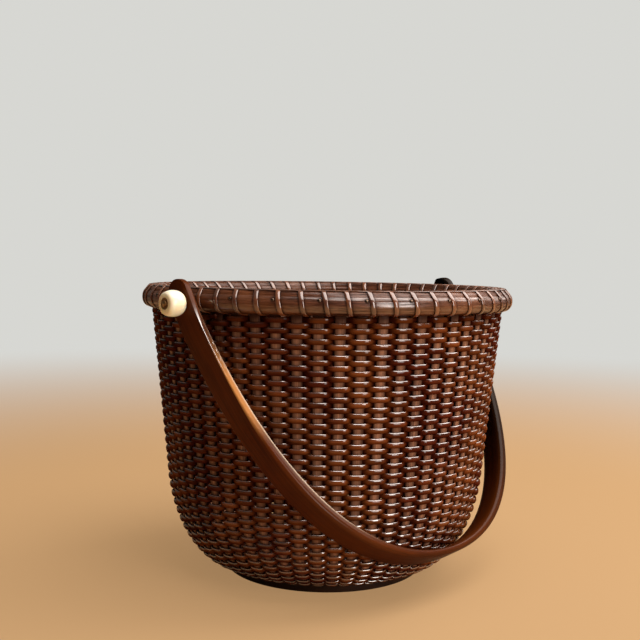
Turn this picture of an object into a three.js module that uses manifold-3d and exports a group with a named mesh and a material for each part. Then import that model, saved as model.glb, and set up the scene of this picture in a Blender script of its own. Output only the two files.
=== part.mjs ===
// A round open basket: cane woven over wooden staves that stand in a turned base, two half-round rim
// hoops under a cane lashing, and a bentwood handle that swings on two riveted knobs.
// Millimetres, +Z up. The origin is the middle of the base's underside. X runs along the handle's
// pivots, and the handle hangs towards -Y.

import * as THREE from 'three';
import { mergeVertices } from 'three/addons/utils/BufferGeometryUtils.js';
import Module from 'manifold-3d';

const wasm = await Module();
wasm.setup();

// Clearances: between pieces that touch, round a turning shank, and how far a cut runs past its piece
const seat = 0.3;
const running = 0.3;
const overrun = 1;

// The rim as a whole: the radius over the lashing and the height of the cap's top
const rimRadius = 120;
const rimTop = 183.2;

// The woven wall: a straight cone from the rim down to the turn, then a quarter of an ellipse that
// ends level at the base, where a flat skirt leads to the base's edge
const wallTaper = 0.101;
const turnHeight = 62.5;
const turnBottom = 5.8;
const skirtWidth = 2.9;
const turnSteps = 5;
const floatThickness = 1.4;

// Staves: the count on the handle's side and on the far side, from one pivot's stave to the other's
const frontGaps = 28;
const backGaps = 29;
const staveThickness = 1.4;
const staveWidthAtRim = 6.5;
const staveWidthAtFoot = 4.2;
const footRingWidth = 1.6;
const footRingThickness = 1;

// Rim hoops, cap, lashing and nails
const hoopHeight = 11.4;
const hoopDepth = 6.65;
const hoopSquareness = 0.8;
const hoopArcSteps = 4;
const capWidth = 9.6;
const capThickness = 1.4;
const strapWidth = 3.1;
const strapThickness = 0.7;
const lashingGap = 0.25;
const lashingSlantShare = 0.68;
const nailStaveSteps = 2;
const nailPlaceShare = 0.06;
const nailRise = 2.7;
const nailShankRadius = 0.5;
const nailHeadRadius = 0.95;
const nailHeadHeight = 0.6;
const nailPointLength = 0.8;
const nailSides = 5;

// Base
const baseRadius = 64.3;
const baseThickness = 12;
const baseEdgeRound = 0.8;
const kerfDepth = 8;
const plugRadius = 6;
const plugDepth = 6;
const turnedLineRadius = 40;
const turnedLineWidth = 1.2;
const turnedLineDepth = 0.6;
const baseSides = 48;
const plugSides = 24;

// Handle: its inner face is a curve from ear to crown, and its thickness grows along the arm and
// shrinks again to the crown. The reach runs from the pivots' line to the crown's outer face. Its
// section has a flat middle outside, wide rounded edges, and a round inside.
const pivotDrop = 0.7;
const pivotOffset = 6.6;
const earClearance = 1.1;
const handleReach = 176.8;
const hangingGap = 0.7;
const handleWidth = 16.5;
const earThickness = 6;
const armThickness = 7.8;
const crownThickness = 5;
const armPlaceShare = 0.35;
const armStraight = 12;
const armLean = 10.5;
const armStiffnessShare = 0.892;
const crownStiffnessShare = 0.3;
const earCentreBeyondPivot = 6.2;
const earTurnShares = [1 / 8, 3 / 8, 5 / 8, 1];
const edgeShares = [0.38, 0.36];
const earEdgeShare = 0.25;
const insideWidthShares = [0.82, 0.3];
const insideDepthShares = [0.82, 1];
const handleSteps = 20;
const hangingSteps = 40;

// Knobs, rivets and burrs
const knobRadius = 7.5;
const knobLength = 11.2;
const knobFaceRadius = 4.9;
const knobSides = 24;
const knobArcSteps = 5;
const shankRadius = 1.25;
const rivetHeadRadius = 3.2;
const rivetHeadHeight = 1.4;
const peenRadius = 1.9;
const peenHeight = 0.7;
const burrRadius = 3.3;
const burrThickness = 1;
const rivetSides = 16;
const domeShare = 0.75;

// What follows from the sizes above, radially outwards at the rim
const gapCount = frontGaps + backGaps;
const hoopOuterRadius = rimRadius - strapThickness - lashingGap;
const outerHoopFace = hoopOuterRadius - hoopDepth;
const staveOuterAtRim = outerHoopFace - seat;
const staveMiddleAtRim = staveOuterAtRim - staveThickness / 2;
const staveInnerAtRim = staveOuterAtRim - staveThickness;
const innerHoopFace = staveInnerAtRim - seat;
const hoopInnerRadius = innerHoopFace - hoopDepth;
const wallRadiusAtRim = staveOuterAtRim + seat + floatThickness;

// And upwards at the rim
const hoopTop = rimTop - capThickness - seat;
const hoopBottom = hoopTop - hoopHeight;
const hoopMiddle = (hoopTop + hoopBottom) / 2;
const lashingBottom = hoopBottom - lashingGap - strapThickness;
const wallTop = lashingBottom - seat;
const pivotHeight = hoopMiddle - pivotDrop;

// The pivots sit in the middle of two staves, and each side's staves share its arc evenly
const pivotTurn = Math.asin(pivotOffset / staveMiddleAtRim);
const leftStaveAngle = Math.PI + pivotTurn;
const rightStaveAngle = 2 * Math.PI - pivotTurn;
const frontPitch = (rightStaveAngle - leftStaveAngle) / frontGaps;
const backPitch = (2 * Math.PI - (rightStaveAngle - leftStaveAngle)) / backGaps;
const widestPitch = Math.max(frontPitch, backPitch);

// Angle round the basket of a place counted in staves from the left pivot's stave, fractions allowed
function angleAt(count) {
  const turns = Math.floor(count / gapCount);
  const place = count - turns * gapCount;
  const angle = place <= frontGaps
    ? leftStaveAngle + place * frontPitch
    : rightStaveAngle + (place - frontGaps) * backPitch;
  return angle + turns * 2 * Math.PI;
}

// A facet lies inside the circle of its corners, so a face that looks inwards moves its corners out
const cornerRadius = (radius) => radius / Math.cos(widestPitch / 2);

const polar = (radius, angle, z) =>
  new THREE.Vector3(radius * Math.cos(angle), radius * Math.sin(angle), z);

const range = (count) => Array.from({ length: count }, (_, index) => index);

// Six times the signed volume of an indexed mesh, to tell its inside from its outside
function signedVolume(points, index) {
  let sum = 0;
  const cross = new THREE.Vector3();
  for (let i = 0; i < index.length; i += 3) {
    const [a, b, c] = [points[index[i]], points[index[i + 1]], points[index[i + 2]]];
    sum += a.dot(cross.crossVectors(b, c));
  }
  return sum;
}

// Closed skin over a row of loops that all have as many points. The row closes on itself, or its
// first and last loop, which are convex, are capped.
function loft(loops, closesOnItself) {
  const size = loops[0].length;
  const points = loops.flat();
  const index = [];
  const rows = closesOnItself ? loops.length : loops.length - 1;
  for (let i = 0; i < rows; i += 1) {
    const next = (i + 1) % loops.length;
    for (let j = 0; j < size; j += 1) {
      const k = (j + 1) % size;
      const [a, b, c, d] = [i * size + j, next * size + j, next * size + k, i * size + k];
      index.push(a, b, d, b, c, d);
    }
  }
  if (!closesOnItself) {
    const last = (loops.length - 1) * size;
    for (let j = 1; j < size - 1; j += 1) {
      index.push(0, j, j + 1);
      index.push(last, last + j + 1, last + j);
    }
  }
  if (signedVolume(points, index) < 0) index.reverse();
  const geometry = new THREE.BufferGeometry().setFromPoints(points);
  geometry.setIndex(index);
  return geometry;
}

// The geometry with shared corners and no collapsed triangles
function joined(geometry) {
  const bare = geometry.clone();
  bare.deleteAttribute('normal');
  bare.deleteAttribute('uv');
  const merged = mergeVertices(bare);
  const index = [];
  const old = merged.index.array;
  for (let i = 0; i < old.length; i += 3) {
    const [a, b, c] = [old[i], old[i + 1], old[i + 2]];
    if (a !== b && b !== c && c !== a) index.push(a, b, c);
  }
  merged.setIndex(index);
  return merged;
}

function toSolid(geometry) {
  const shared = joined(geometry);
  return new wasm.Manifold(new wasm.Mesh({
    numProp: 3,
    vertProperties: Float32Array.from(shared.attributes.position.array),
    triVerts: Uint32Array.from(shared.index.array),
  }));
}

function fromSolid(solid) {
  const mesh = solid.getMesh();
  const geometry = new THREE.BufferGeometry();
  geometry.setAttribute('position', new THREE.BufferAttribute(mesh.vertProperties, mesh.numProp));
  geometry.setIndex(new THREE.BufferAttribute(mesh.triVerts, 1));
  return geometry;
}

const without = (geometry, cutters) =>
  fromSolid(cutters.reduce((solid, cutter) => solid.subtract(toSolid(cutter)), toSolid(geometry)));

// Round piece about Z from a profile of [radius, height] pairs, outwards below and inwards above
function turned(profile, sides) {
  const points = profile.map(([radius, height]) => new THREE.Vector2(radius, height));
  return joined(new THREE.LatheGeometry(points, sides).rotateX(Math.PI / 2));
}

// Round cutter whose axis lies level at an angle, from one distance off the Z axis to another
function levelCutter(radius, from, to, angle, sides) {
  const cutter = new THREE.CylinderGeometry(radius, radius, to - from, sides);
  cutter.translate(0, (from + to) / 2, 0);
  return cutter.rotateZ(angle - Math.PI / 2);
}

// Ring of one section, given as [radius, height] pairs, with a corner midway between staves
function ring(section) {
  const loops = range(gapCount).map((gap) =>
    section.map(([radius, z]) => polar(radius, angleAt(gap + 1 / 2), z)));
  return loft(loops, true);
}

// Outside of the woven wall from the base to the rim, as points with the outward normal, by the angle
// along the turn's quarter ellipse and then up the cone
function wallOutline() {
  const radiusOnCone = (z) => wallRadiusAtRim - wallTaper * (hoopBottom - z);
  const turnInset = radiusOnCone(turnBottom) - (baseRadius + seat + skirtWidth);
  const outline = range(turnSteps + 1).map((step) => {
    const angle = (Math.PI / 2) * (1 - step / turnSteps);
    const z = turnHeight - (turnHeight - turnBottom) * Math.sin(angle);
    const radius = radiusOnCone(z) - turnInset * (1 - Math.cos(angle));
    const rise = (turnHeight - turnBottom) * Math.cos(angle);
    const spread = wallTaper * rise + turnInset * Math.sin(angle);
    return { radius, z, normal: new THREE.Vector2(rise, -spread).normalize() };
  });
  const coneNormal = new THREE.Vector2(1, -wallTaper).normalize();
  outline.push({ radius: radiusOnCone(wallTop), z: wallTop, normal: coneNormal });
  return outline;
}

const outline = wallOutline();
const inset = (place, depth) =>
  [place.radius - place.normal.x * depth, place.z - place.normal.y * depth];

// The staves' outer and inner face lie at these depths behind the wall's outside
const staveFront = floatThickness + seat;
const staveBack = staveFront + staveThickness;
const kerfBottom = turnBottom + staveFront - seat;
const kerfTop = turnBottom + staveBack + seat;
const kerfFloor = baseRadius - kerfDepth;

function wovenWall() {
  const skirt = { radius: baseRadius + seat, z: turnBottom, normal: new THREE.Vector2(0, -1) };
  const places = [{ ...skirt, radius: cornerRadius(skirt.radius) }, ...outline];
  const outside = places.map((place) => inset(place, 0));
  const inside = places.map((place) => inset(place, floatThickness));
  const insideCorners = inside.map(([radius, z], row) => [row > 0 ? cornerRadius(radius) : radius, z]);
  return ring([...outside, ...insideCorners.reverse()]);
}

// One stave as a row of four-cornered sections from its foot in the kerf to its top under the cap
function stave(angle) {
  const foot = { radius: kerfFloor + seat, z: turnBottom, normal: new THREE.Vector2(0, -1) };
  const under = { ...foot, radius: outline[0].radius };
  const sides = [foot, under, ...outline.slice(1, -1)]
    .map((place) => [inset(place, staveFront), inset(place, staveBack)]);
  sides.push([[staveOuterAtRim, hoopBottom], [staveInnerAtRim, hoopBottom]]);
  sides.push([[staveOuterAtRim, hoopTop], [staveInnerAtRim, hoopTop]]);
  const footRadius = foot.radius;
  const loops = sides.map(([outer, inner]) => {
    const share = (outer[0] - footRadius) / (staveOuterAtRim - footRadius);
    const half = THREE.MathUtils.lerp(staveWidthAtFoot, staveWidthAtRim, share) / 2;
    const corner = ([radius, z], across) =>
      new THREE.Vector3(radius, across, z).applyAxisAngle(new THREE.Vector3(0, 0, 1), angle);
    return [corner(outer, half), corner(outer, -half), corner(inner, -half), corner(inner, half)];
  });
  return loft(loops, false);
}

// Places of the nails, each in a stave but off its middle, beside a wrap of the lashing
const nailPlaces = [
  ...range(frontGaps).filter((count) => count > 0 && count % nailStaveSteps === 0),
  ...range(backGaps - 1).filter((count) => count > 0 && count % nailStaveSteps === 0)
    .map((count) => frontGaps + count),
].map((count) => count + nailPlaceShare);

// Cutters for the rivets' and nails' holes through the rim, with a running gap round each shank
function rivetCutters() {
  return [0, Math.PI].map((angle) =>
    levelCutter(shankRadius + running, hoopInnerRadius - overrun, rimRadius, angle, rivetSides)
      .translate(0, -pivotOffset, pivotHeight));
}

// Where the nails enter the outer hoop's round side above its middle, and how that side leans there
function nailSeat() {
  const side = halfRound(outerHoopFace, 1);
  const next = side.findIndex(([, z]) => z > hoopMiddle + nailRise);
  const [low, high] = [side[next - 1], side[next]];
  const share = (hoopMiddle + nailRise - low[1]) / (high[1] - low[1]);
  return {
    radius: THREE.MathUtils.lerp(low[0], high[0], share),
    lean: Math.atan2(low[0] - high[0], high[1] - low[1]),
  };
}

// Takes a piece along +Y, whose zero is the hoop's side, to a nail's seat, square on that side
const toNailSeat = (geometry) =>
  geometry.rotateX(nailSeat().lean).translate(0, nailSeat().radius, nailRise);

function nailCutters() {
  const tip = staveInnerAtRim - nailSeat().radius - overrun;
  return nailPlaces.map((count) =>
    toNailSeat(levelCutter(nailShankRadius + running, tip, overrun, Math.PI / 2, nailSides))
      .rotateZ(angleAt(count) - Math.PI / 2).translate(0, 0, hoopMiddle));
}

function allStaves() {
  const middle = turnBottom + (staveFront + staveBack) / 2;
  const [low, high] = [middle - footRingThickness / 2, middle + footRingThickness / 2];
  const inner = cornerRadius(kerfFloor + seat);
  const outer = inner + footRingWidth;
  const footRing = toSolid(ring([[inner, low], [outer, low], [outer, high], [inner, high]]));
  const bars = range(gapCount).map((count) => toSolid(stave(angleAt(count))));
  const whole = bars.reduce((solid, bar) => solid.add(bar), footRing);
  return without(fromSolid(whole), [...rivetCutters(), ...nailCutters()]);
}

// Half-round section: flat against the staves, its round side at a depth from the flat face
function halfRound(face, direction) {
  return range(hoopArcSteps + 1).map((step) => {
    const angle = Math.PI * (step / hoopArcSteps - 1 / 2);
    const out = Math.max(Math.cos(angle), 0) ** hoopSquareness;
    const up = Math.sign(Math.sin(angle)) * Math.abs(Math.sin(angle)) ** hoopSquareness;
    return [face + direction * hoopDepth * out, hoopMiddle + up * hoopHeight / 2];
  });
}

function outerHoop() {
  const section = halfRound(outerHoopFace, 1);
  const last = section.length - 1;
  const corners = section.map(([radius, z], step) =>
    [step === 0 || step === last ? cornerRadius(radius) : radius, z]);
  return without(ring(corners), [...rivetCutters(), ...nailCutters()]);
}

function innerHoop() {
  const section = halfRound(innerHoopFace, -1);
  const last = section.length - 1;
  const corners = section.map(([radius, z], step) =>
    [step === 0 || step === last ? radius : cornerRadius(radius), z]);
  return without(ring(corners.reverse()), rivetCutters());
}

function rimCap() {
  const [inner, outer] = [staveMiddleAtRim - capWidth / 2, staveMiddleAtRim + capWidth / 2];
  const bottom = rimTop - capThickness;
  return ring([[cornerRadius(inner), bottom], [outer, bottom], [outer, rimTop],
    [cornerRadius(inner), rimTop]]);
}

// Corners of the wood that the lashing goes round, from the cap's outer edge down the outer hoop,
// under both and up the inner hoop
function lashedCorners() {
  const outside = halfRound(outerHoopFace, 1).slice(1, -1).reverse();
  const inside = halfRound(innerHoopFace, -1).slice(1, -1);
  return [
    [staveMiddleAtRim + capWidth / 2, rimTop],
    ...outside,
    [cornerRadius(outerHoopFace), hoopBottom],
    [innerHoopFace, hoopBottom],
    ...inside,
    [staveMiddleAtRim - capWidth / 2, rimTop],
  ];
}

// The corner of an outline moved out so that both edges that meet there clear it by the distance
function moved(corners, index, distance) {
  const at = (step) => new THREE.Vector2(...corners[(step + corners.length) % corners.length]);
  const edgeNormal = (from, to) => {
    const along = to.clone().sub(from).normalize();
    return new THREE.Vector2(-along.y, along.x);
  };
  const before = edgeNormal(at(index - 1), at(index));
  const after = edgeNormal(at(index), at(index + 1));
  const bisector = before.clone().add(after).normalize();
  return at(index).addScaledVector(bisector, distance / bisector.dot(before));
}

// One flat strand wound round the rim, one wrap for each stave, that passes under the hoops midway
// between staves. On hoops and cap its place along the rim follows its turn about the middle of the
// rim's section, slanted by the share, and it gains the rest of its pitch across the cap.
function rimLashing() {
  const corners = lashedCorners();
  const middle = new THREE.Vector2(staveMiddleAtRim, hoopMiddle);
  const placeOf = (corner) => {
    const turn = Math.atan2(middle.x - corner[0], middle.y - corner[1]) / (2 * Math.PI);
    return (1 + turn * 2 * lashingSlantShare) / 2;
  };
  const loops = [];
  for (let wrap = 0; wrap < gapCount; wrap += 1) {
    corners.forEach((corner, index) => {
      const angle = angleAt(wrap + placeOf(corner));
      const inner = moved(corners, index, lashingGap);
      const outer = moved(corners, index, lashingGap + strapThickness);
      const half = strapWidth / 2 / corner[0];
      loops.push([
        polar(inner.x, angle - half, inner.y), polar(outer.x, angle - half, outer.y),
        polar(outer.x, angle + half, outer.y), polar(inner.x, angle + half, inner.y),
      ]);
    });
  }
  return loft(loops, true);
}

// Nail with its head outwards, tapping the outer hoop to a stave
function rimNail() {
  const underHead = seat;
  const point = staveInnerAtRim - nailSeat().radius;
  const profile = [
    [0, point], [nailShankRadius, point + nailPointLength], [nailShankRadius, underHead],
    [nailHeadRadius, underHead],
    [nailHeadRadius * domeShare, underHead + nailHeadHeight * domeShare],
    [0, underHead + nailHeadHeight],
  ];
  const points = profile.map(([radius, height]) => new THREE.Vector2(radius, height));
  return toNailSeat(joined(new THREE.LatheGeometry(points, nailSides)));
}

function basePlate() {
  const [low, high] = [baseEdgeRound, baseThickness - baseEdgeRound];
  const lineIn = turnedLineRadius - turnedLineWidth / 2;
  const lineOut = turnedLineRadius + turnedLineWidth / 2;
  const plugFloor = baseThickness - plugDepth - seat;
  return turned([
    [0, 0], [baseRadius - baseEdgeRound, 0], [baseRadius, low], [baseRadius, kerfBottom],
    [kerfFloor, kerfBottom], [kerfFloor, kerfTop], [baseRadius, kerfTop], [baseRadius, high],
    [baseRadius - baseEdgeRound, baseThickness], [lineOut, baseThickness],
    [turnedLineRadius, baseThickness - turnedLineDepth], [lineIn, baseThickness],
    [plugRadius + seat, baseThickness], [plugRadius + seat, plugFloor], [0, plugFloor],
  ], baseSides);
}

function basePlug() {
  const bottom = baseThickness - plugDepth;
  return turned([[0, bottom], [plugRadius, bottom], [plugRadius, baseThickness], [0, baseThickness]],
    plugSides);
}

// Where the pivots' line leaves the rim, and from there outwards the ear and the knob
const rimAtPivot = Math.sqrt(rimRadius ** 2 - pivotOffset ** 2);
const earInner = rimAtPivot + earClearance;
const earOuter = earInner + earThickness;
const knobInner = earOuter + running;
const knobOuter = knobInner + knobLength;

// Thickness and softness of the edges at a share of the way from the arm's start to the crown
function thicknessAt(share) {
  const { lerp, smoothstep } = THREE.MathUtils;
  return share < armPlaceShare
    ? lerp(earThickness, armThickness, smoothstep(share, 0, armPlaceShare))
    : lerp(armThickness, crownThickness, smoothstep(share, armPlaceShare, 1));
}

const softnessAt = (share) =>
  THREE.MathUtils.lerp(earEdgeShare, 1, THREE.MathUtils.smoothstep(share, 0, armPlaceShare));

// The handle's middle line on its inner face, in its own plane: across from the middle, and away from
// the pivots. Each place has the half width, the thickness and the edges' softness there.
function handleStations() {
  const half = handleWidth / 2;
  const atEar = { thickness: earThickness, softness: earEdgeShare };
  const ear = earTurnShares.map((share) => {
    const angle = share * Math.PI / 2;
    const beyond = earCentreBeyondPivot + half * Math.cos(angle);
    return { ...atEar, place: new THREE.Vector2(earInner, -beyond), half: half * Math.sin(angle) };
  });
  const innerReach = handleReach - crownThickness;
  const curve = new THREE.CubicBezierCurve(
    new THREE.Vector2(earInner, armStraight),
    new THREE.Vector2(earInner - armLean, innerReach * armStiffnessShare),
    new THREE.Vector2(earInner * crownStiffnessShare, innerReach),
    new THREE.Vector2(0, innerReach),
  );
  const arm = range(handleSteps + 1).map((step) => {
    const share = step / handleSteps;
    return {
      place: curve.getPoint(share), half, thickness: thicknessAt(share), softness: softnessAt(share),
    };
  });
  const atPivot = { ...atEar, place: new THREE.Vector2(earInner, 0), half };
  const right = [...ear, atPivot, ...arm];
  const left = right.slice(0, -1).reverse()
    .map((station) => ({ ...station, place: new THREE.Vector2(-station.place.x, station.place.y) }));
  return [...right, ...left];
}

// Section of the handle: across the width, and out from the inner face
function handleSection({ half, thickness, softness }) {
  const [edgeWidth, edgeDepth] = edgeShares.map((share) => share * softness);
  const sides = [
    [half * (1 - edgeWidth), thickness], [half, thickness * (1 - edgeDepth)],
    ...insideWidthShares.map((share, i) => [share * half, (1 - insideDepthShares[i]) * thickness]),
  ];
  return [...sides, ...sides.map(([side, height]) => [-side, height]).reverse()];
}

// The handle's sections in space about the pivots' line, when it points at an angle below level
function handleLoops(angle) {
  const down = new THREE.Vector3(0, -Math.cos(angle), -Math.sin(angle));
  const out = new THREE.Vector3(0, -Math.sin(angle), Math.cos(angle));
  const across = new THREE.Vector3(1, 0, 0);
  const stations = handleStations();
  return stations.map((station, index) => {
    const { place } = station;
    const before = stations[Math.max(index - 1, 0)].place;
    const after = stations[Math.min(index + 1, stations.length - 1)].place;
    const along = after.clone().sub(before).normalize();
    const outward = new THREE.Vector2(along.y, -along.x);
    return handleSection(station).map(([side, height]) => new THREE.Vector3()
      .addScaledVector(across, place.x + outward.x * height)
      .addScaledVector(down, place.y + outward.y * height)
      .addScaledVector(out, side));
  });
}

// How far a point lies outside the wall's outline, or inside it as a negative distance
function outsideWall(radius, z) {
  const point = new THREE.Vector2(radius, z);
  let nearest = Infinity;
  let beyond = true;
  outline.slice(1).forEach((upper, index) => {
    const lower = outline[index];
    const from = new THREE.Vector2(lower.radius, lower.z);
    const edge = new THREE.Vector2(upper.radius, upper.z).sub(from);
    const share = THREE.MathUtils.clamp(point.clone().sub(from).dot(edge) / edge.lengthSq(), 0, 1);
    nearest = Math.min(nearest, from.addScaledVector(edge, share).distanceTo(point));
    if (z > lower.z && z <= upper.z) {
      const level = (z - lower.z) / (upper.z - lower.z);
      beyond = radius > THREE.MathUtils.lerp(lower.radius, upper.radius, level);
    }
  });
  return beyond ? nearest : -nearest;
}

// The handle hangs as low as its gap to the wall and the floor lets it, found by halving
function hangingAngle() {
  const isClear = (angle) => handleLoops(angle).flat().every((corner) => {
    const z = pivotHeight + corner.z;
    return z > hangingGap && outsideWall(Math.hypot(corner.x, corner.y - pivotOffset), z) > hangingGap;
  });
  let [clear, blocked] = [0, Math.PI / 2];
  for (let step = 0; step < hangingSteps; step += 1) {
    const middle = (clear + blocked) / 2;
    if (isClear(middle)) clear = middle;
    else blocked = middle;
  }
  return clear;
}

function swingHandle() {
  const holes = [0, Math.PI].map((angle) =>
    levelCutter(shankRadius + running, earInner - overrun, earOuter + overrun, angle, rivetSides));
  return without(loft(handleLoops(hangingAngle()), false), holes);
}

// Knob, rivet and burr along +Y, outwards from the basket
function knob() {
  const recess = knobOuter - burrThickness - seat;
  const side = range(knobArcSteps + 1).map((step) => {
    const share = step / knobArcSteps;
    const bulge = Math.sqrt(1 - (2 * share - 1) ** 2);
    return [knobFaceRadius + (knobRadius - knobFaceRadius) * bulge, knobInner + knobLength * share];
  });
  const points = [
    [shankRadius + running, knobInner], ...side, [burrRadius + seat, knobOuter],
    [burrRadius + seat, recess], [shankRadius + running, recess], [shankRadius + running, knobInner],
  ].map(([radius, height]) => new THREE.Vector2(radius, height));
  return joined(new THREE.LatheGeometry(points, knobSides));
}

function burr() {
  const bottom = knobOuter - burrThickness;
  const hole = shankRadius + running;
  const points = [[hole, bottom], [burrRadius, bottom], [burrRadius, knobOuter], [hole, knobOuter],
    [hole, bottom]].map(([radius, height]) => new THREE.Vector2(radius, height));
  return joined(new THREE.LatheGeometry(points, rivetSides));
}

function rivet() {
  const lashingInner = hoopInnerRadius - lashingGap - strapThickness;
  const headFace = Math.sqrt(lashingInner ** 2 - (pivotOffset + rivetHeadRadius) ** 2) - seat;
  const peenFace = knobOuter + seat;
  const points = [
    [0, headFace - rivetHeadHeight], [rivetHeadRadius * domeShare, headFace - rivetHeadHeight * domeShare],
    [rivetHeadRadius, headFace], [shankRadius, headFace], [shankRadius, peenFace],
    [peenRadius, peenFace], [peenRadius * domeShare, peenFace + peenHeight * domeShare],
    [0, peenFace + peenHeight],
  ].map(([radius, height]) => new THREE.Vector2(radius, height));
  return joined(new THREE.LatheGeometry(points, rivetSides));
}

// Finishes
const finish = (color, roughness, metalness = 0) =>
  new THREE.MeshStandardMaterial({ color, roughness, metalness });
const weaveFinish = finish('#5a3320', 0.45);
const staveFinish = finish('#6b4229', 0.5);
const hoopFinish = finish('#6e4630', 0.42);
const lashingFinish = finish('#7a4a30', 0.38);
const handleFinish = finish('#4a2415', 0.3);
const baseFinish = finish('#4d2d1b', 0.5);
const boneFinish = finish('#efe3bd', 0.35);
const metalFinish = finish('#8a6238', 0.4, 1);

const basket = new THREE.Group();

function place(name, geometry, material, position = [0, 0, 0], turn = 0) {
  const mesh = new THREE.Mesh(geometry, material);
  mesh.name = name;
  mesh.position.set(...position);
  mesh.rotation.z = turn;
  basket.add(mesh);
}

place('base_plate', basePlate(), baseFinish);
place('base_plug', basePlug(), baseFinish);
place('staves', allStaves(), staveFinish);
place('woven_wall', wovenWall(), weaveFinish);
place('outer_hoop', outerHoop(), hoopFinish);
place('inner_hoop', innerHoop(), hoopFinish);
place('rim_cap', rimCap(), hoopFinish);
place('rim_lashing', rimLashing(), lashingFinish);

nailPlaces.forEach((count, index) => {
  const name = `rim_nail_${String(index + 1).padStart(2, '0')}`;
  place(name, rimNail(), metalFinish, [0, 0, hoopMiddle], angleAt(count) - Math.PI / 2);
});

const pivot = [0, -pivotOffset, pivotHeight];
place('swing_handle', swingHandle(), handleFinish, pivot);
[['left', Math.PI / 2], ['right', -Math.PI / 2]].forEach(([side, turn]) => {
  place(`knob_${side}`, knob(), boneFinish, pivot, turn);
  place(`rivet_${side}`, rivet(), metalFinish, pivot, turn);
  place(`burr_${side}`, burr(), metalFinish, pivot, turn);
});

export default basket;
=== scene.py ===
"""Dressed scene of a round woven basket with a swinging bentwood handle.

Cane is woven over and under 57 wooden staves that stand in a turned base. Two half-round hoops and a
flat cap close the rim under a spiral cane lashing, and the handle swings on two riveted bone knobs.
Sizes are in millimetres in the classes and in metres in the meshes. The axes are the frame's own.
"""

from __future__ import annotations

import logging
import math
from dataclasses import dataclass, field
from enum import Enum
from functools import cache

import bpy
import numpy as np
from bpy.types import Material, Mesh, Node, NodeSocket, NodeTree, Object, World
from mathutils import Matrix, Vector


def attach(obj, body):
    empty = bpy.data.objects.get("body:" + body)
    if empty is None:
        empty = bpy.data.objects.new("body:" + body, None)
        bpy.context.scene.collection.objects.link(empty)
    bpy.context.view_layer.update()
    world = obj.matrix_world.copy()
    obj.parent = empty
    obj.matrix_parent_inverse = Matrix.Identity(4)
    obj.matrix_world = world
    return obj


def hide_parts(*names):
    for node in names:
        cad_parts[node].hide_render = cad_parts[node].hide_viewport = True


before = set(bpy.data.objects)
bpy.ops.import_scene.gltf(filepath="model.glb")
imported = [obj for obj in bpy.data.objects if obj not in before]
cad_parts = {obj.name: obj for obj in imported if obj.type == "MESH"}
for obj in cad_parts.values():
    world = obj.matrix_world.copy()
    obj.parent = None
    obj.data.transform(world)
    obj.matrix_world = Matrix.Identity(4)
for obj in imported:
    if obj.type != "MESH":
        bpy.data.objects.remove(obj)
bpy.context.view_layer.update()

log = logging.getLogger("basket")

MM = 0.001
BASKET_BODY = "basket"
HANDLE_BODY = "handle"
SEED = 57

Colour = tuple[float, float, float]
Direction = tuple[float, float, float]
Pair = tuple[float, float]
Array = np.ndarray


@dataclass(frozen=True)
class Layout:
    """Sizes that several pieces share, as the CAD has them."""

    front_gaps: int = 28
    back_gaps: int = 29
    pivot_offset: float = 6.6
    pivot_height: float = 175.1
    rim_radius: float = 120.0
    rim_top: float = 183.2
    wall_at_rim: float = 113.8
    wall_taper: float = 0.101
    turn_height: float = 62.5
    turn_bottom: float = 5.8
    turn_inset: float = 29.7
    float_thickness: float = 1.4
    stave_thickness: float = 1.4
    seat: float = 0.3
    hoop_height: float = 11.4
    cap_thickness: float = 1.4
    strap_thickness: float = 0.7
    lashing_gap: float = 0.25
    base_radius: float = 64.3

    @property
    def gaps(self) -> int:
        """Number of staves, which is the number of gaps between them."""
        return self.front_gaps + self.back_gaps

    @property
    def stave_middle(self) -> float:
        """Radius of the middle of the staves between the hoops."""
        return self.wall_at_rim - self.float_thickness - self.seat - self.stave_thickness / 2

    @property
    def outer_face(self) -> float:
        """Radius of the outer hoop's flat face."""
        return self.stave_middle + self.stave_thickness / 2 + self.seat

    @property
    def inner_face(self) -> float:
        """Radius of the inner hoop's flat face."""
        return self.stave_middle - self.stave_thickness / 2 - self.seat

    @property
    def hoop_depth(self) -> float:
        """How far a hoop stands out from its flat face."""
        return self.rim_radius - self.strap_thickness - self.lashing_gap - self.outer_face

    @property
    def hoop_top(self) -> float:
        """Height of the hoops' top."""
        return self.rim_top - self.cap_thickness - self.seat

    @property
    def hoop_bottom(self) -> float:
        """Height of the hoops' bottom."""
        return self.hoop_top - self.hoop_height

    @property
    def hoop_middle(self) -> float:
        """Height of the hoops' middle."""
        return (self.hoop_top + self.hoop_bottom) / 2

    @property
    def wall_top(self) -> float:
        """Height where the weave ends, under the lashing."""
        return self.hoop_bottom - self.lashing_gap - self.strap_thickness - self.seat

    def angle_at(self, count: Array) -> Array:
        """Angle round the basket of places counted in staves from the left pivot's stave.

        The two pivots sit in the middle of two staves, and each side's staves share its arc evenly.

        Args:
            count: places in staves, fractions and more than one turn allowed.

        Returns:
            Angles in radians from +X towards +Y.
        """
        lean = math.asin(self.pivot_offset / self.stave_middle)
        left, right = math.pi + lean, 2 * math.pi - lean
        turns = np.floor(count / self.gaps)
        corners = [0, self.front_gaps, self.gaps]
        angles = [left, right, left + 2 * math.pi]
        return np.interp(count - turns * self.gaps, corners, angles) + turns * 2 * math.pi


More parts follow.
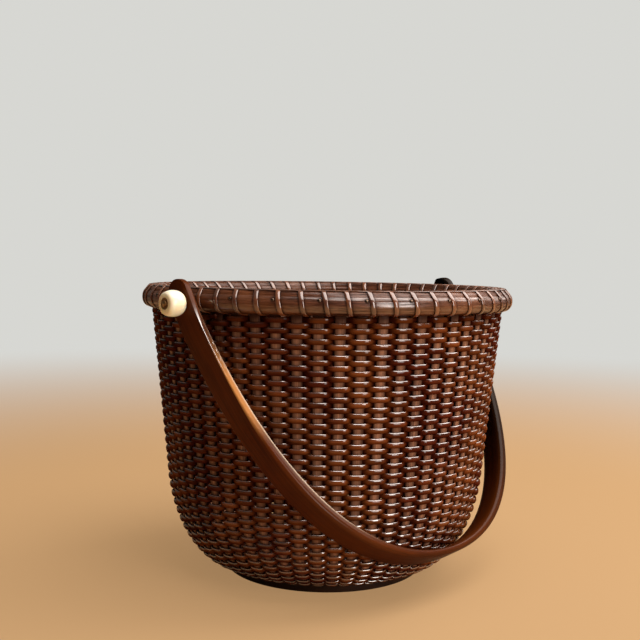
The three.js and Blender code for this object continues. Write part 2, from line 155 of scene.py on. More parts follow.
@dataclass(frozen=True)
class WallOutline:
    """Outside of the woven wall by the distance along it, from the base's edge up to the rim."""

    layout: Layout
    samples: int = 400
    skirt_samples: int = 12

    def _table(self) -> tuple[Array, Array, Array]:
        """Works out the outline at fine steps: flat skirt, quarter ellipse and straight cone.

        Returns:
            Distances along it, its [radius, height] pairs and their outward normals.
        """
        lay = self.layout

        def cone(height: Array) -> Array:
            """Radius of the straight wall at a height."""
            return lay.wall_at_rim - lay.wall_taper * (lay.hoop_bottom - height)

        angle = np.linspace(math.pi / 2, 0, self.samples)
        height = lay.turn_height - (lay.turn_height - lay.turn_bottom) * np.sin(angle)
        radius = cone(height) - lay.turn_inset * (1 - np.cos(angle))
        straight = np.linspace(lay.turn_height, lay.wall_top, self.samples)[1:]
        skirt = np.linspace(lay.base_radius + lay.seat, radius[0], self.skirt_samples, endpoint=False)
        points = np.concatenate([pairs(skirt, lay.turn_bottom), pairs(radius, height),
                                 pairs(cone(straight), straight)])
        distance = length_along(points)
        along = unit(np.gradient(points, distance, axis=0))
        return distance, points, pairs(along[:, 1], -along[:, 0])

    def length(self) -> float:
        """Length of the outline in millimetres."""
        return float(self._table()[0][-1])

    def at(self, distance: Array) -> tuple[Array, Array]:
        """Points and outward normals at distances along the outline.

        Args:
            distance: distances from the base's edge.

        Returns:
            Two arrays of [radius, height] pairs.
        """
        table, points, normals = self._table()
        return read_at(distance, table, points), unit(read_at(distance, table, normals))


def swing_round(section: Array, angle: Array) -> Array:
    """Places [radius, height] pairs round the basket's axis.

    Args:
        section: array of [radius, height] pairs.
        angle: angle of each pair, of a shape that broadcasts with the pairs.

    Returns:
        Points [radius cos angle, radius sin angle, height].
    """
    radius, height = section[..., 0], section[..., 1]
    shape = np.broadcast_shapes(radius.shape, angle.shape)
    height = np.broadcast_to(height, shape)
    return np.stack([radius * np.cos(angle), radius * np.sin(angle), height], axis=-1)


def turned_round(profile: Array, sides: int) -> Array:
    """Grid of points of a profile of [radius, height] pairs that is turned about the basket's axis."""
    return swing_round(profile[:, None, :], full_turn(sides)[None, :])


def unit(vectors: Array, least: float = 1e-12) -> Array:
    """The vectors at length one, apart from those that are shorter than the least length."""
    return vectors / np.maximum(np.linalg.norm(vectors, axis=-1, keepdims=True), least)


def pairs(first: Array | float, second: Array | float) -> Array:
    """Two arrays as one of pairs, each brought to the other's shape first."""
    return np.stack(np.broadcast_arrays(first, second), axis=-1)


def full_turn(steps: int) -> Array:
    """Angles in radians, spaced evenly over a full turn with the last left out."""
    return np.arange(steps) / steps * 2 * math.pi


def signed_power(values: Array, power: float) -> Array:
    """The formula sgn(v) |v|^p, which makes a superellipse of a circle's sines and cosines."""
    return np.sign(values) * np.abs(values) ** power


def smooth_step(share: Array) -> Array:
    """Smooth step 3 s^2 - 2 s^3 of a share s that is held between 0 and 1."""
    held = np.clip(share, 0, 1)
    return held * held * (3 - 2 * held)


def fading(gap: Array, reach: float) -> Array:
    """Share that is 1 while the gap is below zero and fades past it: exp(-gap / reach)."""
    return np.exp(-np.maximum(gap, 0) / reach)


def ramp(value: Array, slope: float, drop: float, most: float = 1.0) -> Array:
    """Straight ramp slope * v - drop of a value v, held between 0 and the most that it may be."""
    return np.clip(value * slope - drop, 0, most)


def shadow_and_grime(gap: Array, reach: float, start: float) -> Array:
    """Painted shadow, with some grime, that thins out with the gap to a corner: start - gap / reach,
    held between 0 and 1.
    """
    return np.clip(start - gap / reach, 0, 1)


def length_along(line: Array) -> Array:
    """Length along a line of points up to each of them."""
    return np.concatenate([[0], np.cumsum(np.linalg.norm(np.diff(line, axis=0), axis=1))])


def length_round(section: Array) -> Array:
    """Length round a closed section up to each of its points, and then up to the first again."""
    return length_along(np.concatenate([section, section[:1]]))


def read_at(places: Array, run: Array, rows: Array) -> Array:
    """Rows of numbers at places between those of a growing run, where the rows are known."""
    return np.stack([np.interp(places, run, column) for column in rows.T], axis=-1)


def sweep(path: Array, outward: Array, section: Array) -> Array:
    """Carries a section along a path.

    Point = path + across * section[0] + out * section[1], where across is the path's direction turned
    a quarter turn about the outward direction, and out stands square on both.

    Args:
        path: points of shape (..., rows, 3).
        outward: rough outward direction at each point of the path.
        section: pairs of shape (columns, 2) or (..., rows, columns, 2).

    Returns:
        Points of shape (..., rows, columns, 3).
    """
    along = unit(np.gradient(path, axis=-2))
    across = unit(np.cross(along, outward))
    out = np.cross(across, along)
    return (path[..., None, :] + across[..., None, :] * section[..., 0:1]
            + out[..., None, :] * section[..., 1:2])


def oval(width: float, thickness: float, columns: int, squareness: float) -> Array:
    """Superellipse of pairs [x, y]: x = w/2 sgn(cos t)|cos t|^q and y = h/2 sgn(sin t)|sin t|^q.

    Args:
        width: size along x.
        thickness: size along y.
        columns: number of points.
        squareness: the exponent q, 1 for an ellipse and less for a squarer shape.

    Returns:
        Array of shape (columns, 2).
    """
    turn = full_turn(columns)
    return signed_power(pairs(np.cos(turn), np.sin(turn)), squareness) * [width / 2, thickness / 2]


@dataclass
class Skin:
    """Grid of points, or several alike, whose columns close on themselves, as one mesh.

    Attributes:
        points: millimetres, of shape (rows, columns, 3) or (parts, rows, columns, 3).
        ring: whether the rows close on themselves.
        capped: whether the first and last row of an open skin get a face each.
        pattern: [u, v] in millimetres for each point of the opened-out grid, one row or column more
            where it closes on itself.
        values: numbers for each point that materials read by name.
    """

    points: Array
    ring: bool = False
    capped: bool = False
    pattern: Array | None = None
    values: dict[str, Array] = field(default_factory=dict)

    def to_object(self, name: str, crease: float | None = None) -> Object:
        """Makes the mesh object.

        Args:
            name: the object's name.
            crease: angle in degrees past which an edge stays sharp, or None for no sharp edge.

        Returns:
            The new object, at the origin, with faces that point outwards.
        """
        points = self.points if self.points.ndim == 4 else self.points[None]
        parts, rows, columns = points.shape[:3]
        row, column = np.meshgrid(np.arange(rows if self.ring else rows - 1), np.arange(columns),
                                  indexing="ij")
        corner_rows = np.stack([row, row, row + 1, row + 1], axis=-1).reshape(-1, 4)
        corner_columns = np.stack([column, column + 1, column + 1, column], axis=-1).reshape(-1, 4)
        quads = (corner_rows % rows) * columns + corner_columns % columns
        caps = np.stack([np.arange(columns)[::-1], (rows - 1) * columns + np.arange(columns)])
        if self._volume(points[0], quads) < 0:
            quads, caps = quads[:, ::-1], caps[:, ::-1]
            corner_rows, corner_columns = corner_rows[:, ::-1], corner_columns[:, ::-1]
        first = np.arange(parts)[:, None, None] * rows * columns
        loops = [(first + quads[None]).reshape(-1)]
        sizes = [np.full(parts * len(quads), 4)]
        if self.capped:
            loops.append((first + caps[None]).reshape(-1))
            sizes.append(np.full(parts * 2, columns))
        loop_vertices, face_sizes = np.concatenate(loops), np.concatenate(sizes)
        mesh = bpy.data.meshes.new(name)
        mesh.vertices.add(parts * rows * columns)
        mesh.vertices.foreach_set("co", (points * MM).astype(np.float32).ravel())
        mesh.loops.add(len(loop_vertices))
        mesh.loops.foreach_set("vertex_index", loop_vertices.astype(np.int32))
        mesh.polygons.add(len(face_sizes))
        starts = np.concatenate([[0], np.cumsum(face_sizes)[:-1]])
        mesh.polygons.foreach_set("loop_start", starts.astype(np.int32))
        mesh.update(calc_edges=True)
        self._write_pattern(mesh, parts, corner_rows, corner_columns, len(loop_vertices))
        for key, numbers in self.values.items():
            layer = mesh.attributes.new(key, "FLOAT", "POINT")
            filled = np.broadcast_to(numbers, points.shape[:3])
            layer.data.foreach_set("value", filled.astype(np.float32).ravel())
        mesh.shade_smooth()
        if crease is not None:
            mesh.set_sharp_from_angle(angle=math.radians(crease))
        made = bpy.data.objects.new(name, mesh)
        bpy.context.scene.collection.objects.link(made)
        return made

    @staticmethod
    def _volume(points: Array, quads: Array) -> float:
        """Adds up the signed volume under a grid's quads, each split into two triangles.

        Args:
            points: the grid.
            quads: four places in the flat list of its points, for each quad.

        Returns:
            Six times the volume, below zero where the quads face inwards.
        """
        flat = points.reshape(-1, 3)
        flat = flat - flat.mean(axis=0)
        a, b, c, d = (flat[quads[:, i]] for i in range(4))
        total = np.einsum("ij,ij->i", a, np.cross(b, c)) + np.einsum("ij,ij->i", a, np.cross(c, d))
        return float(total.sum())

    def _write_pattern(self, mesh: Mesh, parts: int, rows: Array, columns: Array,
                       loop_count: int) -> None:
        """Writes the pattern's coordinates, in metres, as the mesh's UV map.

        Args:
            mesh: the mesh to write to.
            parts: number of grids in the mesh.
            rows: row of each quad's corners in the opened-out grid.
            columns: column of each quad's corners in the opened-out grid.
            loop_count: number of face corners, caps included.
        """
        if self.pattern is None:
            return
        pattern = self.pattern if self.pattern.ndim == 4 else self.pattern[None]
        pattern = np.broadcast_to(pattern, (parts, *pattern.shape[1:]))
        coordinates = np.zeros((loop_count, 2))
        on_quads = pattern[:, rows, columns].reshape(-1, 2)
        coordinates[:len(on_quads)] = on_quads * MM
        layer = mesh.uv_layers.new(name="UVMap")
        layer.data.foreach_set("uv", coordinates.astype(np.float32).ravel())


class Side(Enum):
    """The side of the basket that a pivot is on, with the sign of its distance from the middle."""

    LEFT = -1
    RIGHT = 1


class Coordinates(Enum):
    """What a pattern follows: the piece's own length and width, or the space that it stands in."""

    PIECE = "UV"
    SPACE = "Object"


def feed(tree: NodeTree, node: Node, **inputs: object) -> None:
    """Gives a node's inputs their values or links.

    Args:
        tree: the node tree.
        node: the node.
        **inputs: values, or sockets to link, named in_0, in_1 and on, or in_ and the input's name with
            underscores for spaces.
    """
    for key, value in inputs.items():
        label = key.removeprefix("in_")
        socket = node.inputs[int(label) if label.isdigit() else label.replace("_", " ")]
        if isinstance(value, NodeSocket):
            tree.links.new(value, socket)
        else:
            socket.default_value = value


def add_node(tree: NodeTree, kind: str, **settings: object) -> Node:
    """Adds a node.

    Args:
        tree: the node tree.
        kind: the node's type, without the ShaderNode that it starts with.
        **settings: the node's own settings, and what feeds its inputs, as feed takes it.

    Returns:
        The new node.
    """
    node = tree.nodes.new(f"ShaderNode{kind}")
    inputs = {key: value for key, value in settings.items() if key.startswith("in_")}
    for key, value in settings.items():
        if key not in inputs:
            setattr(node, key, value)
    feed(tree, node, **inputs)
    return node


def calculate(tree: NodeTree, operation: str, *terms: object, clamp: bool = False) -> NodeSocket:
    """Adds an operation on two or three numbers or sockets, and gives the socket of its result."""
    inputs = {f"in_{place}": term for place, term in enumerate(terms)}
    return add_node(tree, "Math", operation=operation, use_clamp=clamp, **inputs).outputs[0]


def remap(tree: NodeTree, value: NodeSocket, bounds: Pair = (0.0, 1.0), results: Pair = (0.0, 1.0),
          shape: str = "LINEAR") -> NodeSocket:
    """Adds a change of a value from between its bounds to between two results, LINEAR or SMOOTHSTEP."""
    (low, high), (first, last) = bounds, results
    return add_node(tree, "MapRange", interpolation_type=shape, in_0=value, in_1=low, in_2=high,
                    in_3=first, in_4=last).outputs[0]


def blend(tree: NodeTree, share: object, first: object, second: object) -> NodeSocket:
    """Adds a mix of two colours by a share from 0 to 1, and gives the socket of the mixed colour."""
    node = add_node(tree, "Mix", data_type="RGBA", in_0=share, in_6=first, in_7=second)
    return node.outputs[2]


def carried(tree: NodeTree, name: str) -> NodeSocket:
    """Adds a reading of a value that the mesh carries, 0 where it carries none."""
    return add_node(tree, "Attribute", attribute_name=name).outputs["Fac"]


def opaque(colour: Colour) -> tuple[float, float, float, float]:
    """The colour with full alpha."""
    return (*colour, 1.0)


def new_material(name: str) -> tuple[Material, NodeTree, Node]:
    """Makes a material.

    Args:
        name: the material's name.

    Returns:
        The material, its node tree and its Principled shader.
    """
    made = bpy.data.materials.new(name)
    made.use_nodes = True
    return made, made.node_tree, made.node_tree.nodes["Principled BSDF"]


class Effect:
    """Shader effects that several finishes share, each a node group that is built once."""

    fibre_fineness: float = 3.7
    fibre_share: float = 0.45
    streak_bounds: Pair = (0.32, 0.68)
    patch_bounds: Pair = (0.38, 0.64)

    @staticmethod
    def _new(name: str, numbers: list[str], colours: list[str],
             outputs: dict[str, str]) -> tuple[NodeTree, Node, Node]:
        """Starts a node group with named sockets.

        Args:
            name: the group's name.
            numbers: names of the inputs that take a number, and Vector where it takes a place.
            colours: names of the inputs that take a colour.
            outputs: kinds of the outputs by name.

        Returns:
            The tree, its input node and its output node.
        """
        tree = bpy.data.node_groups.new(name, "ShaderNodeTree")
        kinds = {label: "Vector" if label == "Vector" else "Float" for label in numbers}
        kinds |= {label: "Color" for label in colours}
        for label, kind in kinds.items():
            tree.interface.new_socket(label, in_out="INPUT", socket_type=f"NodeSocket{kind}")
        for label, kind in outputs.items():
            tree.interface.new_socket(label, in_out="OUTPUT", socket_type=f"NodeSocket{kind}")
        return tree, tree.nodes.new("NodeGroupInput"), tree.nodes.new("NodeGroupOutput")

    @staticmethod
    @cache
    def long_grain() -> NodeTree:
        """Streaks that run along the first coordinate: coarse bands with fine fibres over them.

        Returns:
            The node group.
        """
        tree, given, out = Effect._new("long_grain", ["Vector", "Along", "Across"], [],
                                       {"Streaks": "Float", "Height": "Float"})
        scale = add_node(tree, "CombineXYZ", in_X=given.outputs["Along"],
                         in_Y=given.outputs["Across"], in_Z=given.outputs["Across"])
        placed = add_node(tree, "VectorMath", operation="MULTIPLY", in_0=given.outputs["Vector"],
                          in_1=scale.outputs[0])
        bands = add_node(tree, "TexNoise", in_Vector=placed.outputs[0], in_Scale=1.0, in_Detail=3.0,
                         in_Roughness=0.6, in_Distortion=0.4)
        fibres = add_node(tree, "TexNoise", in_Vector=placed.outputs[0],
                          in_Scale=Effect.fibre_fineness, in_Detail=2.0, in_Roughness=0.7)
        mixed = add_node(tree, "Mix", in_0=Effect.fibre_share, in_2=bands.outputs[0],
                         in_3=fibres.outputs[0])
        streaks = remap(tree, mixed.outputs[0], Effect.streak_bounds, shape="SMOOTHSTEP")
        feed(tree, out, in_Streaks=streaks, in_Height=mixed.outputs[0])
        return tree

    @staticmethod
    @cache
    def patches() -> NodeTree:
        """Soft patches in space, as where the varnish has worn or darkened, 0 to 1.

        Returns:
            The node group.
        """
        tree, given, out = Effect._new("patches", ["Vector", "Scale"], [], {"Mask": "Float"})
        noise = add_node(tree, "TexNoise", in_Vector=given.outputs["Vector"],
                         in_Scale=given.outputs["Scale"], in_Detail=4.0, in_Roughness=0.55)
        feed(tree, out, in_Mask=remap(tree, noise.outputs[0], Effect.patch_bounds, shape="SMOOTHSTEP"))
        return tree

    @staticmethod
    @cache
    def aged_tone() -> NodeTree:
        """Colour of aged varnished wood from its grain, its worn patches, grime with painted shade and
        light, and a painted highlight line.

        Returns:
            The node group.
        """
        tree, given, out = Effect._new(
            "aged_tone", ["Grain", "Worn", "Dirt", "Tone", "Bare"],
            ["Dark", "Light", "Worn Colour", "Dirt Colour", "Bare Colour"], {"Colour": "Color"})
        inputs = given.outputs
        base = blend(tree, inputs["Grain"], inputs["Dark"], inputs["Light"])
        worn = blend(tree, inputs["Worn"], base, inputs["Worn Colour"])
        toned = add_node(tree, "HueSaturation", in_Value=inputs["Tone"], in_Color=worn)
        # This mix paints shade in hollows, with some grime, and on the handle painted light along its
        # edge.
        with_dirt_and_painted_light = blend(tree, inputs["Dirt"], toned.outputs[0], inputs["Dirt Colour"])
        # The last mix paints a highlight line in a pale colour.
        feed(tree, out, in_Colour=blend(tree, inputs["Bare"], with_dirt_and_painted_light, inputs["Bare Colour"]))
        return tree


@dataclass(frozen=True)
class WoodFinish:
    """Varnished wood or cane with age on it.

    Attributes:
        worn: colour where the varnish has worn.
        dirt: colour of the grime and painted shade in hollows, and on the handle the orange of its edge,
            partly rubbed-off stain and partly painted light.
        bare: colour of the painted highlight line on a sharp edge.
        coordinates: what the grain follows.
        grain_along: grain cells per metre along the fibres.
        grain_depth: depth of the grain's relief in metres.
        patch_scale: patches per metre.
        worn_share: most of the worn colour that shows.
        roughness: roughness of dark and of light grain.
        coat: weight of the varnish coat where it is dull.
        polished: weight of the coat where the piece is polished.
        coat_streaks: how much the dark grain takes away of the coat, 0 to 1.
        dirt_and_painted_light_share: most of that colour that shows.
        gloss: specular level of the wood under its coat.
    """

    name: str
    slot: str
    dark: Colour
    light: Colour
    worn: Colour
    dirt: Colour
    bare: Colour = (0.85, 0.7, 0.55)
    coordinates: Coordinates = Coordinates.PIECE
    grain_along: float = 60.0
    grain_across: float = 900.0
    grain_depth: float = 0.00015
    patch_scale: float = 30.0
    worn_share: float = 0.5
    roughness: Pair = (0.5, 0.35)
    coat: float = 0.4
    polished: float = 0.4
    coat_roughness: float = 0.25
    coat_ior: float = 1.5
    coat_streaks: float = 0.0
    dirt_and_painted_light_share: float = 0.85
    dirt_and_painted_light_roughness: float = 0.8
    gloss: float = 0.3

    def material(self) -> Material:
        """Builds the material: grain, patches, grime with painted shade and light, and a painted
        highlight line set the colour, and the grain the relief.

        Returns:
            The new material.
        """
        made, tree, shader = new_material(self.name)
        place = add_node(tree, "TexCoord")
        grain = add_node(tree, "Group", node_tree=Effect.long_grain(),
                         in_Vector=place.outputs[self.coordinates.value],
                         in_Along=self.grain_along, in_Across=self.grain_across)
        patches = add_node(tree, "Group", node_tree=Effect.patches(),
                           in_Vector=place.outputs["Object"], in_Scale=self.patch_scale)
        streaks = grain.outputs["Streaks"]
        # Mask of grime and painted light: painted shade in the hollows of weave, staves and rim, painted
        # light along the handle's edge.
        dirt = calculate(tree, "MULTIPLY", carried(tree, "dirt"), self.dirt_and_painted_light_share)
        colour = add_node(tree, "Group", node_tree=Effect.aged_tone(), in_Grain=streaks,
                          in_Worn=calculate(tree, "MULTIPLY", patches.outputs[0], self.worn_share),
                          in_Dirt=dirt, in_Tone=calculate(tree, "ADD", carried(tree, "tone"), 1.0),
                          in_Bare=carried(tree, "bare"), in_Dark=opaque(self.dark),
                          in_Light=opaque(self.light), in_Worn_Colour=opaque(self.worn),
                          in_Dirt_Colour=opaque(self.dirt), in_Bare_Colour=opaque(self.bare))
        rough = add_node(tree, "Mix", in_0=dirt, in_2=remap(tree, streaks, results=self.roughness),
                         in_3=self.dirt_and_painted_light_roughness)
        relief = add_node(tree, "Bump", in_Height=grain.outputs["Height"], in_Distance=self.grain_depth)
        whole = remap(tree, streaks, results=(1 - self.coat_streaks, 1.0))
        shine = calculate(tree, "MULTIPLY", carried(tree, "polish"), whole)
        feed(tree, shader, in_Base_Color=colour.outputs[0], in_Roughness=rough.outputs[0],
             in_Normal=relief.outputs[0], in_Specular_IOR_Level=self.gloss,
             in_Coat_Weight=remap(tree, shine, results=(self.coat, self.polished)),
             in_Coat_Roughness=self.coat_roughness, in_Coat_IOR=self.coat_ior)
        return made


@dataclass(frozen=True)
class BoneFinish:
    """Turned ivory-coloured bone, darker and warmer in patches.

    Attributes:
        warm: colour of the bone's patches and of its dirty edges.
        warm_share: most of the warm colour that shows in the patches.
        glow: share of the light that goes into the bone and out again.
        glow_reach: how far that light goes, in metres.
    """

    name: str = "turned_bone"
    slot: str = "knob_bone"
    pale: Colour = (1.0, 1.0, 0.8)
    warm: Colour = (0.8, 0.58, 0.26)
    warm_share: float = 0.35
    patch_scale: float = 90.0
    grain_along: float = 150.0
    grain_across: float = 900.0
    grain_depth: float = 0.00003
    roughness: float = 0.3
    coat: float = 0.3
    glow: float = 0.15
    glow_reach: float = 0.002

    def material(self) -> Material:
        """Builds the material: patches mix the two colours, and a fine grain gives the relief.

        Returns:
            The new material.
        """
        made, tree, shader = new_material(self.name)
        place = add_node(tree, "TexCoord").outputs["Object"]
        patches = add_node(tree, "Group", node_tree=Effect.patches(), in_Vector=place,
                           in_Scale=self.patch_scale)
        grain = add_node(tree, "Group", node_tree=Effect.long_grain(), in_Vector=place,
                         in_Along=self.grain_along, in_Across=self.grain_across)
        share = calculate(tree, "MULTIPLY_ADD", patches.outputs[0], self.warm_share,
                          carried(tree, "dirt"), clamp=True)
        relief = add_node(tree, "Bump", in_Height=grain.outputs["Height"], in_Distance=self.grain_depth)
        feed(tree, shader, in_Base_Color=blend(tree, share, opaque(self.pale), opaque(self.warm)),
             in_Normal=relief.outputs[0], in_Roughness=self.roughness, in_Coat_Weight=self.coat,
             in_Subsurface_Weight=self.glow, in_Subsurface_Scale=self.glow_reach)
        return made


@dataclass(frozen=True)
class MetalFinish:
    """Darkened copper alloy or steel, brighter where it is rubbed.

    Attributes:
        dark: colour of the tarnish.
        bright: colour of the rubbed metal.
        roughness: roughness of tarnish and of rubbed metal.
        patch_share: most of the bright colour that shows in the patches.
    """

    name: str
    slot: str
    dark: Colour
    bright: Colour
    roughness: Pair = (0.55, 0.3)
    patch_scale: float = 700.0
    patch_share: float = 0.4
    relief_depth: float = 0.00005

    def material(self) -> Material:
        """Builds the material: patches mix tarnish and rubbed metal, with a hammered relief.

        Returns:
            The new material.
        """
        made, tree, shader = new_material(self.name)
        place = add_node(tree, "TexCoord").outputs["Object"]
        patches = add_node(tree, "Group", node_tree=Effect.patches(), in_Vector=place,
                           in_Scale=self.patch_scale).outputs[0]
        share = calculate(tree, "MULTIPLY_ADD", patches, self.patch_share,
                          carried(tree, "rubbed"), clamp=True)
        relief = add_node(tree, "Bump", in_Height=patches, in_Distance=self.relief_depth)
        feed(tree, shader, in_Base_Color=blend(tree, share, opaque(self.dark), opaque(self.bright)),
             in_Roughness=remap(tree, share, results=self.roughness),
             in_Normal=relief.outputs[0], in_Metallic=1.0)
        return made


# The dark dirt colours of weave, staves, hoops and lashing paint shade in their hollows, with some
# grime.
WEAVER = WoodFinish(
    name="woven_cane", slot="weaver_cane", dark=(0.03, 0.0042, 0.0015), light=(0.097, 0.018, 0.0066),
    worn=(0.22, 0.066, 0.0145), dirt=(0.022, 0.0028, 0.0009), grain_along=45, grain_across=1500,
    grain_depth=0.0001, patch_scale=22, worn_share=0.5, roughness=(0.4, 0.3), coat=0.0,
    polished=1.0, coat_roughness=0.12, coat_ior=3.3, dirt_and_painted_light_share=0.97, gloss=0.0)
STAVE = WoodFinish(
    name="split_stave", slot="stave_wood", dark=(0.12, 0.05, 0.03), light=(0.42, 0.2, 0.12),
    worn=(0.36, 0.165, 0.085), dirt=(0.022, 0.0036, 0.0012), grain_along=25, grain_across=2600,
    grain_depth=0.0002, patch_scale=25, worn_share=0.4, roughness=(0.55, 0.4), coat=0.1,
    polished=0.1, dirt_and_painted_light_share=0.98, gloss=0.15)
HOOP = WoodFinish(
    name="bent_hoop", slot="hoop_wood", dark=(0.012, 0.0022, 0.0006), light=(0.15, 0.044, 0.016),
    worn=(0.24, 0.08, 0.027), dirt=(0.004, 0.001, 0.0004), grain_along=30, grain_across=750,
    grain_depth=0.0015, patch_scale=25, worn_share=0.45, roughness=(0.5, 0.3), coat=0.02,
    polished=1.0, coat_roughness=0.2, coat_ior=2.2, coat_streaks=1.0, gloss=0.04)
LASHING = WoodFinish(
    name="flat_cane", slot="lashing_cane", dark=(0.04, 0.01, 0.004), light=(0.15, 0.045, 0.017),
    worn=(0.3, 0.1, 0.028), dirt=(0.006, 0.0018, 0.0009), grain_along=60, grain_across=1600,
    grain_depth=0.0001, patch_scale=60, worn_share=0.4, roughness=(0.4, 0.3), coat=0.03,
    polished=1.0, coat_roughness=0.12, coat_ior=2.1, gloss=0.06)
# The handle's dirt colour is the orange of its edge, partly rubbed-off stain and partly painted light.
HANDLE = WoodFinish(
    name="bent_handle", slot="handle_wood", dark=(0.021, 0.003, 0.0004), light=(0.064, 0.0105, 0.001),
    worn=(0.11, 0.026, 0.003), dirt=(0.62, 0.27, 0.08), grain_along=12, grain_across=450,
    grain_depth=0.00006, patch_scale=14, worn_share=0.35, roughness=(0.4, 0.3), coat=0.02,
    polished=1.0, coat_roughness=0.1, coat_ior=4.5, dirt_and_painted_light_roughness=0.3, gloss=0.02)
# The base's colours are darkened to paint the shade that it stands in under the wall.
BASE = WoodFinish(
    name="turned_base", slot="base_wood", dark=(0.008, 0.0025, 0.0011), light=(0.025, 0.008, 0.0036),
    worn=(0.06, 0.022, 0.009), dirt=(0.01, 0.005, 0.0035), coordinates=Coordinates.SPACE,
    grain_along=9, grain_across=260, grain_depth=0.0001, patch_scale=14, worn_share=0.4,
    roughness=(0.55, 0.4), coat=0.1, polished=0.1, gloss=0.2)
BONE = BoneFinish()
RIVET = MetalFinish(name="darkened_rivet", slot="rivet_metal", dark=(0.16, 0.08, 0.028),
                    bright=(0.45, 0.3, 0.15))
NAIL = MetalFinish(name="tarnished_nail", slot="nail_metal", dark=(0.02, 0.012, 0.008),
                   bright=(0.15, 0.1, 0.07), roughness=(0.35, 0.16))


def dress(piece: Object, finish: WoodFinish | BoneFinish | MetalFinish, body: str, *nodes: str) -> None:
    """Gives a piece its finish, body and CAD nodes, and reports it.

    Args:
        piece: the finished mesh object.
        finish: its finish.
        body: the CAD body that it moves with.
        *nodes: the CAD nodes that it stands for.
    """
    material = bpy.data.materials.get(finish.name) or finish.material()
    piece.data.materials.append(material)
    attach(piece, body)
    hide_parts(*nodes)
    log.info("%s: %d faces, stands for %s", piece.name, len(piece.data.polygons), ", ".join(nodes))


